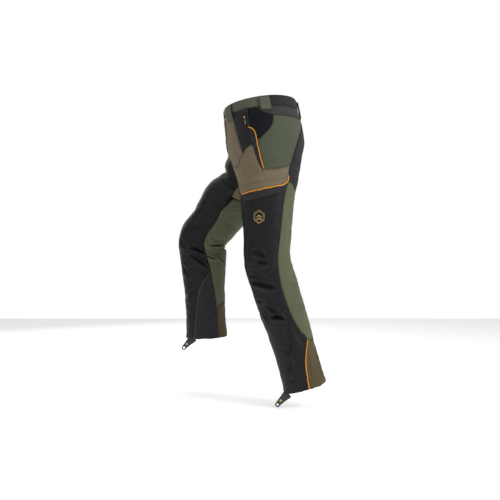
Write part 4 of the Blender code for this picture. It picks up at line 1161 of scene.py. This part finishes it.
def cord(name, side, zone, points, look, half_width, height, lift=0.0):
    """A flattened tube along a path on the surface."""
    at, way, out = along_path(side, points, lift, 0.0024)
    across = np.cross(way, out)
    turns = np.arange(10) * math.tau / 10
    size = np.ones(len(at))
    size[0] = size[-1] = 0.35
    ring = (
        at[:, None]
        + across[:, None] * (np.cos(turns) * half_width)[None, :, None] * size[:, None, None]
        + out[:, None] * ((0.35 + np.sin(turns)) * height)[None, :, None] * size[:, None, None]
    )
    count = len(at)
    index = np.arange(count * 10).reshape(count, 10)
    around = np.roll(index, -1, axis=1)
    faces = np.stack([index[:-1], around[:-1], around[1:], index[1:]], axis=-1).reshape(-1, 4)
    mesh = bpy.data.meshes.new(name)
    ends = [tuple(index[0][::-1].tolist()), tuple(index[-1].tolist())]
    mesh.from_pydata(ring.reshape(-1, 3).tolist(), [], faces.tolist() + ends)
    mesh.flip_normals()
    mesh.shade_smooth()
    piece = linked(name, mesh, PIPING[look])
    follow(piece, side, zone)
    return piece


POCKET_PIPING = (
    (156, 0.39), (160, 0.405), (163.5, 0.43), (166.5, 0.49), (168, 0.58), (170, 0.7),
    (172, 0.825), (175, 0.935),
)
for side in SIDES:
    cord(f"pocket_piping_{side}", side, "hip", POCKET_PIPING, "orange", 0.0019, 0.0013)
    cord(f"cargo_piping_{side}", side, "hip",
         ((220, 1.0), (220.6, 1.06), (214, 1.100), (200, 1.13), (162, 1.175), (113, 1.22)),
         "orange", 0.0021, 0.0013)
    cord(f"calf_piping_{side}", side, "shin", SEAMS["calf_edge"], "orange", 0.0020, 0.0013)
    cord(f"calf_tape_{side}", side, "shin", ((267, 2.71), (252, 2.84), (238, 2.955)), "navy", 0.0014,
         0.0006)
    cord(f"gusset_piping_{side}", side, "shin", SEAMS["gusset_front"], "rust", 0.0011, 0.0009)

# ================================================================ hardware
# Helpers for moulded and metal parts: primitives whose meshes are moved to their own places.


METAL = {
    "copper_hardware": solid_look("copper", (0.50, 0.23, 0.12), 0.3, 1.0),
    "boot_rubber": solid_look("rubber", (0.040, 0.040, 0.043), 0.6, bump=0.00008),
    "olive_cord": solid_look("cord", (0.115, 0.125, 0.070), 0.7, bump=0.00015),
    "gold": solid_look("gold_print", (0.55, 0.42, 0.13), 0.45),
    "dark_metal": solid_look("dark_metal", (0.075, 0.075, 0.080), 0.35, 0.9),
}


def shaped(name, place, look, make, smooth=True):
    """A primitive made at the origin, with its mesh moved to its place, so its frame is plain."""
    bpy.ops.object.select_all(action="DESELECT")
    make()
    piece = bpy.context.object
    piece.name = name
    piece.data.transform(place)
    if smooth:
        piece.data.shade_smooth()
    piece.data.materials.clear()
    piece.data.materials.append(look)
    return piece


def matrix(origin, across, up, out, size=(1.0, 1.0, 1.0)):
    """A place from an origin and three ways, scaled along each."""
    columns = [Vector(way) * scale for way, scale in zip((across, up, out), size)]
    place = Matrix(columns).transposed().to_4x4()
    place.translation = Vector(origin)
    return place


def cube():
    bpy.ops.mesh.primitive_cube_add(size=1.0)


def soften(piece, width, segments=3):
    """Round a piece's edges."""
    bevel = piece.modifiers.new("round", "BEVEL")
    bevel.width, bevel.segments = width, segments
    bevel.limit_method = "ANGLE"
    bpy.ops.object.modifier_apply(modifier=bevel.name)


def merge(first, others):
    """Join separate shells of one moving part into one piece."""
    bpy.ops.object.select_all(action="DESELECT")
    for piece in (first, *others):
        piece.select_set(True)
    bpy.context.view_layer.objects.active = first
    bpy.ops.object.join()
    return first


def block(name, origin, ways, size, look, edge=0.0004):
    """A box with rounded edges, its sizes across, up and out."""
    piece = shaped(name, matrix(origin, *ways, size), look, cube, smooth=False)
    soften(piece, edge)
    piece.data.shade_smooth()
    return piece


def ring(name, origin, ways, radius, wire, look, stretch=1.0):
    """A ring of wire lying in the plane of the first two ways."""

    def make():
        bpy.ops.mesh.primitive_torus_add(
            major_radius=radius, minor_radius=wire, major_segments=28, minor_segments=10
        )

    return shaped(name, matrix(origin, *ways, (1.0, stretch, 1.0)), look, make)


def disc(name, origin, ways, radius, depth, look, edge=0.0003):
    """A round plate or pin along the third way."""

    def make():
        bpy.ops.mesh.primitive_cylinder_add(radius=radius, depth=depth, vertices=32)

    piece = shaped(name, matrix(origin, *ways), look, make, smooth=False)
    soften(piece, edge, 2)
    piece.data.shade_smooth()
    return piece


def finished(piece, body, slot, *nodes):
    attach(piece, body)
    if nodes:
        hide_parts(*nodes)
    return piece


def unit(vector):
    return np.array(vector) / np.linalg.norm(vector)


# ================================================================ belt loops
# Straps folded under at both ends and barred down, standing off the band between them.

# (angle, top and bottom below the band's top, gap, lean)
LOOPS = {
    "front": (123, 0.005, 0.072, 0.0036, 0.010),
    "side": (185, 0.008, 0.054, 0.0036, 0.004),
    "back": (270, 0.004, 0.066, 0.0016, 0.0),
}
LOOP_WIDTH, LOOP_STRAP = 0.040, 0.0016


def loop_strap(node, side, angle, top, bottom, gap, lean):
    """A belt loop's doubled strap between its feet, gap off the band and leaning across it."""
    middle = (top + bottom) / 2 / RISE
    ends = surface(side, np.full(2, float(angle)), np.array((top, bottom)) / RISE)[0]
    out = unit(surface(side, angle, middle)[3])
    down = unit(ends[1] - ends[0])
    across = np.cross(out, down)
    under = surface(side, np.full(9, float(angle)), np.linspace(top, bottom, 9) / RISE)[0]
    bulge = max(0.0006, float(((under - ends.mean(0)) @ out).max()) + 0.0006)
    length = float(np.linalg.norm(ends[1] - ends[0]))
    share = np.linspace(0.0, 1.0, 33)
    rise = ease(share / 0.10) * ease((1.0 - share) / 0.10)
    bow = np.sin(np.pi * share) * 0.0006
    height = bulge + LOOP_STRAP + 0.0002 + gap * rise + bow
    width = np.linspace(-0.5, 0.5, 15)
    crown = -0.0007 * (2 * width) ** 6
    grid = (
        ends.mean(0)
        + down * ((share - 0.5) * length)[:, None, None]
        + across * (width[None, :] * LOOP_WIDTH + lean * share[:, None])[..., None]
        + out * (height[:, None] + crown[None, :])[..., None]
    )
    index = np.arange(grid.size // 3).reshape(grid.shape[:2])
    quads = np.stack([index[:-1, :-1], index[:-1, 1:], index[1:, 1:], index[1:, :-1]], axis=-1)
    mesh = bpy.data.meshes.new(node)
    mesh.from_pydata(grid.reshape(-1, 3).tolist(), [], quads[..., ::-1].reshape(-1, 4).tolist())
    mesh.shade_smooth()
    plan = np.stack(
        np.broadcast_arrays(width[None, :] * LOOP_WIDTH, (share * length)[:, None]), axis=-1
    ).reshape(-1, 2)
    corner = np.empty(len(mesh.loops), np.int32)
    mesh.loops.foreach_get("vertex_index", corner)
    mesh.uv_layers.new(name="UVMap").data.foreach_set("uv", plan[corner].ravel())
    # painted shade along the strap's two long edges, through the same seam attribute
    mesh.attributes.new("seam", "FLOAT", "POINT").data.foreach_set(
        "value", np.exp(-(((0.5 - np.abs(np.tile(width, 33))) * LOOP_WIDTH / 0.002) ** 2))
    )
    strap = linked(f"sewn_{node}", mesh, CLOTHS["waist_green"])
    thicken(strap, LOOP_STRAP)
    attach(strap, "pelvis")
    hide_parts(node)

    rows = []
    for edge in (-0.5 * LOOP_WIDTH + 0.0034, 0.5 * LOOP_WIDTH - 0.0034):
        spots = (np.arange(round(length / PITCH)) + 0.5) * PITCH
        raised = np.interp(spots / length, share, height)
        at = ends.mean(0) + down * (spots - length / 2)[:, None]
        at = at + across * (edge + lean * spots / length)[:, None]
        rows.append((at + out * (raised + 0.0001)[:, None], down, out))
    for end in (0.035, 0.965):
        spots = (np.arange(9) - 4) * PITCH
        raised = float(np.interp(end, share, height))
        at = ends.mean(0) + down * (end - 0.5) * length + across * (spots + lean * end)[:, None]
        rows.append((at + out * (raised + 0.0002), across, out))
    corners, faces, count = [], [], 0
    for at, way, normal in rows:
        way, normal = np.broadcast_to(way, at.shape), np.broadcast_to(normal, at.shape)
        c, f = stitches(at, way, normal, 0.0004)
        corners.append(c)
        faces.append(f + count)
        count += len(c)
    mesh = bpy.data.meshes.new(f"stitching_{node}")
    mesh.from_pydata(np.vstack(corners).tolist(), [], np.vstack(faces).tolist())
    mesh.shade_smooth()
    thread = linked(f"stitching_{node}", mesh, THREAD["dark"])
    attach(thread, "pelvis")


for side in SIDES:
    for spot in ("front", "side"):
        loop_strap(f"belt_loop_{spot}_{side}", side, *LOOPS[spot])
loop_strap("belt_loop_back", "left", *LOOPS["back"])

# ================================================================ closure and fly
# A stitched tab with a snap closes the band. The placket covers the left front, with a J of
# stitching, and the zip's teeth and slider lie beside it.

low, high = (np.array(corner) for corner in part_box("waist_tab"))
pivot = np.array(JOINT["waist_tab"]["pos_m"])
up = unit(JOINT["waist_tab"]["axis"])
out = unit(np.cross(up, (-1.0, 0.0, 0.0)))
out = out if out[1] < 0 else -out
across = np.cross(up, out)
across = across if across[0] > 0 else -across
left_end, right_end = low[0] + 0.0002, high[0] - 0.0002
centre = pivot + across * ((left_end + right_end) / 2 - pivot[0])
tab_ways = (across, up, np.cross(across, up))
tab = block(
    "sewn_waist_tab", centre, tab_ways, (right_end - left_end, 0.0256, 0.0019),
    CLOTHS["waist_green"], 0.0007,
)
flat = tab.data.uv_layers.new(name="UVMap") if not tab.data.uv_layers else tab.data.uv_layers[0]
flat.name = "UVMap"
corner = np.empty(len(tab.data.loops), np.int32)
tab.data.loops.foreach_get("vertex_index", corner)
places = np.empty(len(tab.data.vertices) * 3)
tab.data.vertices.foreach_get("co", places)
places = places.reshape(-1, 3) - centre
plan = np.stack([places @ across, places @ up], axis=-1)
flat.data.foreach_set("uv", plan[corner].ravel())
finished(tab, "waist_tab", "waist_green", "waist_tab")
snap_place = centre + out * 0.0012 - across * 0.016
snap = disc("tab_snap", snap_place, (across, up, np.cross(across, up)), 0.0062, 0.0009,
            METAL["dark_metal"])
rim = ring("tab_snap_rim", snap_place + out * 0.0004, (across, up, np.cross(across, up)), 0.0050,
           0.0005, METAL["dark_metal"])
finished(merge(snap, [rim]), "waist_tab", "copper_hardware")
half_x, half_z = (right_end - left_end) / 2 - 0.003, 0.0103
frame_of_tab = [(-half_x, -half_z), (half_x, -half_z), (half_x, half_z), (-half_x, half_z)]
ats, ways = [], []
for (x0, z0), (x1, z1) in zip(frame_of_tab, frame_of_tab[1:] + frame_of_tab[:1]):
    count = max(2, round(math.hypot(x1 - x0, z1 - z0) / PITCH))
    for k in range(count):
        t = (k + 0.5) / count
        x, z = x0 + (x1 - x0) * t, z0 + (z1 - z0) * t
        ats.append(centre + across * x + up * z + out * 0.0010)
        ways.append(unit(across * (x1 - x0) + up * (z1 - z0)))
ats, ways = np.array(ats), np.array(ways)
corners, faces = stitches(ats, ways, np.broadcast_to(out, ats.shape))
mesh = bpy.data.meshes.new("stitching_waist_tab")
mesh.from_pydata(corners.tolist(), [], faces.tolist())
mesh.shade_smooth()
finished(linked("stitching_waist_tab", mesh, THREAD["dark"]), "waist_tab", "waist_green")

PLACKET_EDGE, PLACKET_WIDTH = 0.003, 0.035
placket_levels = np.linspace(BAND + 0.03, 0.66, 40)
near, far = (
    np.stack([middle_angle(placket_levels, d), placket_levels], axis=-1)
    for d in (PLACKET_EDGE, PLACKET_EDGE + PLACKET_WIDTH)
)
share = np.linspace(0.0, 1.0, 12)[None, :, None]
rounded_end = ease((placket_levels - 0.52) / 0.14)[:, None, None]
net = near[:, None] + (far - near)[:, None] * share * (1.0 - 0.45 * rounded_end)
index = np.arange(net.size // 2).reshape(net.shape[:2])
quads = np.stack([index[:-1, :-1], index[:-1, 1:], index[1:, 1:], index[1:, :-1]], axis=-1)
spots = net.reshape(-1, 2)
edge_distance = np.minimum(share, 1.0 - share)[0, :, 0] * PLACKET_WIDTH
edge = np.tile(edge_distance, len(placket_levels))
place = surface("left", spots[:, 0], spots[:, 1], 0.0022 + 0.0013 - 0.0006 * (edge < 0.001))[0]
placket = lay("sewn_fly_placket", "left", spots, quads[..., ::-1].reshape(-1, 4).tolist(), place,
              CLOTHS["brown_stretch"], edge, 0.0013)
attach(placket, "pelvis")
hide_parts("fly_placket")
j_path = net[2:-2, 9].tolist() + [net[-2, 6].tolist(), net[-2, 3].tolist(), net[-2, 1].tolist()]
sewn_rows("stitching_fly", "left", "waist", [j_path[::6] + j_path[-3:]], "brown",
          lift=0.0036)


def zip_run(name, side, zone, points, lift, width=0.0052, pitch=0.0021):
    """A zip: two rows of interlocked teeth between their tapes, along a path."""
    at, way, out = along_path(side, points, lift, pitch)
    across = np.cross(way, out)
    sign = np.where(np.arange(len(at)) % 2, 1.0, -1.0)[:, None]
    at = at + across * sign * 0.0005
    corners, faces = stitches(at, across, out, 0.00085, 0.0036)
    mesh = bpy.data.meshes.new(name)
    mesh.from_pydata(corners.tolist(), [], faces.tolist())
    mesh.shade_smooth()
    teeth = linked(name, mesh, METAL["dark_metal"])
    follow(teeth, side, zone)
    for number, shift in enumerate((-1.0, 1.0)):
        path = beside(smooth_path(points), shift * width / 2)
        cord(f"{name}_tape_{number}", side, zone, path, "navy", 0.0016, 0.0005, lift)


fly_line = [(float(middle_angle(level, 0.0048)), level) for level in (0.18, 0.30, 0.45, 0.60, 0.66)]
zip_run("fly_teeth", "right", "waist", fly_line, 0.0008)


def slider(name, origin, down, out, look):
    """A zip slider: a rounded body with a nose and a crown."""
    across = np.cross(down, out)
    ways = (across, -down, np.cross(across, -down))
    body_part = block(name, origin, ways, (0.0056, 0.0084, 0.0018), look, 0.0008)
    parts = [
        block("nose", origin - down * 0.0028, ways, (0.0066, 0.0028, 0.0021), look, 0.0009),
        block("crown", origin + out * 0.0006 + down * 0.0003, ways, (0.0022, 0.0060, 0.0011),
              look, 0.0005),
    ]
    return merge(body_part, parts)


def lie_of(joint_name):
    """A slider's way down, from its joint's axis, and the middle of its box."""
    down = unit(JOINT[joint_name]["axis"])
    low, high = (np.array(corner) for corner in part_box(joint_name))
    middle = (low + high) / 2
    return down, middle


down, middle = lie_of("fly_slider")
out = unit(np.cross(np.cross(down, (0.0, -1.0, 0.0)), down))
look = METAL["copper_hardware"]
finished(
    slider("moulded_fly_slider", middle, down, out, look), "fly_slider",
    "copper_hardware", "fly_slider",
)

# ================================================================ pocket zips
# Teeth and tape run down from a garage at the band. The slider rides them, and the cord puller
# with its copper bead swings from the slider's lower end.

POCKET_LINE = (
    (155.5, BAND + 0.02), (156.4, 0.25), (157.4, 0.40), (159.2, 0.525), (161.5, 0.62),
    (164.5, 0.74), (167.5, 0.84), (171.0, 0.91),
)
for side in SIDES:
    zip_run(f"pocket_teeth_{side}", side, "waist", POCKET_LINE[:5], 0.0002)
    garage = strip(f"zip_garage_{side}", side, (151.5, 159.5), (BAND, BAND + 0.055), 0.0028,
                   CLOTHS["navy_mesh"], 0.0012, 10, 8)
    name = f"pocket_slider_{side}"
    down, middle = lie_of(name)
    hinge = unit(JOINT[f"pocket_puller_{side}"]["axis"])
    out = np.cross(down, hinge)
    out = out if out @ middle > 0 else -out
    look = METAL["copper_hardware"]
    finished(slider(f"moulded_{name}", middle, down, out, look), name, "copper_hardware", name)
    name = f"pocket_puller_{side}"
    low, high = (np.array(corner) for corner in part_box(name))
    middle = (low + high) / 2
    across = np.cross(down, out)
    ways = (across, -down, np.cross(across, -down))
    root = np.array(JOINT[name]["pos_m"])
    reach = 2.0 * float((middle - root) @ down)
    loop = ring("puller_loop", root + down * 0.0030, ways, 0.0022, 0.0004, look, 1.2)
    strap = block(f"moulded_{name}", root + down * (reach * 0.5 + 0.0015), ways,
                  (0.0050, reach - 0.0050, 0.0013), METAL["olive_cord"], 0.0005)
    ribs = [
        block("rib", root + down * (reach * 0.5 + 0.0015 + shift), ways,
              (0.0053, 0.0010, 0.0016), METAL["olive_cord"], 0.0003)
        for shift in (-0.0050, -0.0025, 0.0)
    ]
    bead = disc("bead", root + down * (reach - 0.0045) + out * 0.0006, ways, 0.0017, 0.0006, look)
    copper_part = merge(bead, [loop])
    copper_part.name = f"puller_bead_{side}"
    finished(copper_part, name, "copper_hardware")
    finished(merge(strap, ribs), name, "olive_cord", name)

# ================================================================ boot tabs
# A moulded rubber tongue, broad where it is sewn inside the hem and narrow at its eyelet, with
# a rim round the hole, grip ribs and a small gilt mark.

TAB_LENGTH, TAB_HOLE = 0.058, 0.0045


def tongue(name, origin, ways, thick):
    """A plate between the hole's circle and the tongue's outline, both of the same corners."""
    count, tip = 64, 0.0092
    eye = TAB_LENGTH - tip

    def make():
        bpy.ops.mesh.primitive_circle_add(vertices=count, radius=TAB_HOLE)
        bpy.ops.object.mode_set(mode="EDIT")
        bpy.ops.mesh.select_all(action="SELECT")
        bpy.ops.mesh.extrude_edges_move()
        bpy.ops.object.mode_set(mode="OBJECT")

    piece = shaped(name, Matrix.Identity(4), METAL["boot_rubber"], make, smooth=False)
    for vertex in piece.data.vertices:
        turn = math.atan2(vertex.co.y, vertex.co.x)
        reach_y = TAB_HOLE * math.sin(turn)
        reach_x = TAB_HOLE * math.cos(turn)
        if vertex.index >= count:
            reach_x, reach_y = tip * math.cos(turn), tip * math.sin(turn)
            if reach_y > 0:  # towards the root, the sides open out to where it is sewn in
                share = math.sin(turn) ** 1.6
                spread = 0.0170 if reach_x > 0 else 0.0020
                half = 0.0090 + spread * share**1.3
                reach_y = (eye + 0.008) * share
                reach_x = math.copysign(half * min(1.0, abs(math.cos(turn)) * 3.0), math.cos(turn))
        place = origin + np.array(ways[0]) * reach_x + np.array(ways[1]) * (reach_y - eye)
        vertex.co = Vector(place)
    body = piece.modifiers.new("body", "SOLIDIFY")
    body.thickness, body.offset = thick, 0.0
    bpy.ops.object.modifier_apply(modifier=body.name)
    soften(piece, 0.0006, 2)
    piece.data.shade_smooth()
    return piece


for side in SIDES:
    name = f"boot_tab_{side}"
    root = np.array(JOINT[name]["pos_m"])
    low, high = (np.array(corner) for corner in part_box(name))
    out = np.array((1.0, 0.0, 0.0))
    width = unit(JOINT[name]["axis"])
    down = unit(np.cross(width, out))
    down = down if down[2] < 0 else -down
    ways = (width, -down, np.cross(width, -down))
    thick = high[0] - low[0]
    eye = root + down * (TAB_LENGTH - 0.0092)
    finished(tongue(f"moulded_{name}", root, ways, thick), name, "boot_rubber", name)
    details = []
    for sign in (-1.0, 1.0):
        face = out * sign * (thick / 2 + 0.0001)
        for k, reach in enumerate((0.008, 0.012, 0.016)):
            size = (0.0200 - 0.0020 * k, 0.0016, 0.0006)
            rib = root + down * reach + face
            details.append(block("rib", rib, ways, size, METAL["boot_rubber"], 0.0002))
        details.append(ring("rim", eye + face, ways, 0.0057, 0.0007, METAL["boot_rubber"]))
    details = merge(details[0], details[1:])
    details.name = f"boot_tab_relief_{side}"
    finished(details, name, "boot_rubber")
    mark = disc(f"boot_tab_mark_{side}", root + down * 0.030 + out * (thick / 2 + 0.0002), ways,
                0.0046, 0.0006, METAL["gold"], 0.0001)
    finished(mark, name, "copper_hardware")

# ================================================================ emblem
# A generic embroidered hexagon with two chevrons on the left thigh, in gold satin stitch.

EMBLEM_SPOT, EMBLEM_SIZE = (160.0, 1.49), (0.034, 0.046)


def satin(outline_points, width):
    """Stitches across a closed or open line of points, given in metres from the emblem's middle."""
    points = np.array(outline_points)
    length = np.concatenate([[0.0], np.cumsum(np.linalg.norm(np.diff(points, axis=0), axis=1))])
    spots = np.arange(0.0003, length[-1], 0.0006)
    at = np.stack([np.interp(spots, length, points[:, k]) for k in range(2)], axis=-1)
    way = np.gradient(at, axis=0)
    way /= np.linalg.norm(way, axis=-1, keepdims=True)
    turned = np.stack([-way[:, 1], way[:, 0]], axis=-1)
    return at, turned, width


wide, tall = EMBLEM_SIZE[0] / 2, EMBLEM_SIZE[1] / 2
shield = [(0, tall), (wide, tall * 0.55), (wide, -tall * 0.45), (0, -tall), (-wide, -tall * 0.45),
          (-wide, tall * 0.55), (0, tall)]
inner = [(x * 0.80, y * 0.80) for x, y in shield]
marks = [satin(shield, 0.0013), satin(inner, 0.0007)]
for height in (0.25, -0.15):
    marks.append(satin([(-wide * 0.5, tall * (height - 0.28)), (0, tall * height),
                        (wide * 0.5, tall * (height - 0.28))], 0.0030))
corners, faces, count = [], [], 0
for at, turned, width in marks:

    def mapped(flat):
        angle = EMBLEM_SPOT[0] + flat[:, 0] / (math.radians(1.0) * 0.084)
        level = level_at(drop(EMBLEM_SPOT[1]) - flat[:, 1])
        return surface("left", angle, level, 0.0004)

    place, _, _, out = mapped(at)
    way = mapped(at + turned * 0.001)[0] - place
    way /= np.linalg.norm(way, axis=-1, keepdims=True)
    c, f = stitches(place, way, out, 0.00042, width)
    corners.append(c)
    faces.append(f + count)
    count += len(c)
mesh = bpy.data.meshes.new("emblem_thread")
mesh.from_pydata(np.vstack(corners).tolist(), [], np.vstack(faces).tolist())
mesh.shade_smooth()
emblem = linked("emblem_thread", mesh, THREAD["gold"])
follow(emblem, "left", "hip")

# ================================================================ protective pads
# Quilted felt blocks hang behind the leg's front, one above the knee's bend and one below it.

PADS = {
    "thigh_pad": ((45, 158), (1.42, 1.74), "hip"),
    "shin_pad": ((30, 158), (2.185, 2.88), "shin"),
}
for side in SIDES:
    for name, (angles, levels, zone) in PADS.items():
        count = (round((angles[1] - angles[0]) / 1.6), round((levels[1] - levels[0]) / 0.012))
        angle, level = np.meshgrid(
            np.linspace(*angles, count[0] + 1), np.linspace(*levels, count[1] + 1), indexing="ij"
        )
        flat = flatten(angle, level)
        quilt = np.abs(np.sin(flat[..., 0] * 90) * np.sin(flat[..., 1] * 90))
        rim = np.minimum.reduce([angle - angles[0], angles[1] - angle]) * ANGLE_LENGTH
        rim = np.minimum(rim, np.minimum(level - levels[0], levels[1] - level) * 0.35)
        lift = -0.0062 - 0.0015 * (1.0 - quilt) - 0.0012 * (1.0 - ease(rim / 0.006))
        spots = np.stack([angle.ravel(), level.ravel()], axis=-1)
        place = surface(side, spots[:, 0], spots[:, 1], lift.ravel())[0]
        index = np.arange(angle.size).reshape(angle.shape)
        quads = np.stack(
            [index[:-1, :-1], index[:-1, 1:], index[1:, 1:], index[1:, :-1]], axis=-1
        ).reshape(-1, 4)
        piece = lay(f"quilted_{name}_{side}", side, spots, quads.tolist(), place,
                    CLOTHS["protective_felt"], None, 0.0045)
        follow(piece, side, zone)
        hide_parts(f"{name}_{side}")


# ================================================================ the stage
# A pale floor below the hems, a white surround and broad soft lights.


def area_light(name, place, aim, size, power):
    """A square lamp at a place, aimed at a point."""
    bpy.ops.object.select_all(action="DESELECT")
    bpy.ops.object.light_add(type="AREA", location=place)
    lamp = bpy.context.object
    lamp.name = name
    lamp.data.size = size
    lamp.data.energy = power
    way = Vector(aim) - Vector(place)
    lamp.rotation_euler = way.to_track_quat("-Z", "Y").to_euler()
    return lamp


AIM = (0.0, -0.04, -0.55)
area_light("key", (1.3, 2.1, 0.7), AIM, 1.0, 46.0)
area_light("fill", (1.9, -1.6, 0.9), AIM, 1.4, 14.0)
area_light("top", (0.1, 0.1, 1.9), AIM, 1.6, 16.0)
area_light("far_fill", (-2.0, -1.0, 0.4), AIM, 2.0, 18.0)

bpy.ops.object.select_all(action="DESELECT")
bpy.ops.mesh.primitive_plane_add(size=6.0, location=(0.0, 0.0, cad_box[0][2] - 0.003))
floor = bpy.context.object
floor.name = "floor"
floor_look = bpy.data.materials.new("floor")
floor_look.use_nodes = True
floor_look.node_tree.nodes["Principled BSDF"].inputs["Base Color"].default_value = (0.9, 0.9, 0.9, 1)
floor_look.node_tree.nodes["Principled BSDF"].inputs["Roughness"].default_value = 0.9
floor_look.node_tree.nodes["Principled BSDF"].inputs["Emission Color"].default_value = (1, 1, 1, 1)
floor_look.node_tree.nodes["Principled BSDF"].inputs["Emission Strength"].default_value = 0.4
floor.data.materials.append(floor_look)

world = bpy.data.worlds.new("surround")
world.use_nodes = True
backdrop = world.node_tree.nodes["Background"]
backdrop.inputs["Color"].default_value = (1.0, 1.0, 1.0, 1.0)
seen = world.node_tree.nodes.new("ShaderNodeLightPath")
strength = world.node_tree.nodes.new("ShaderNodeMapRange")  # white to the eye, dimmer as a light
strength.inputs["To Min"].default_value, strength.inputs["To Max"].default_value = 0.34, 1.0
world.node_tree.links.new(seen.outputs["Is Camera Ray"], strength.inputs["Value"])
world.node_tree.links.new(strength.outputs[0], backdrop.inputs["Strength"])
bpy.context.scene.world = world

camera_data = bpy.data.cameras.new("camera")
camera_data.lens = 47.2
camera_data.sensor_width = 36.0
camera = bpy.data.objects.new("camera", camera_data)
camera.location = (2.5, -0.038, -0.5518)
camera.rotation_euler = (math.radians(90), 0.0, math.radians(90))
bpy.context.scene.collection.objects.link(camera)
bpy.context.scene.camera = camera
bpy.context.scene.view_settings.view_transform = "Standard"
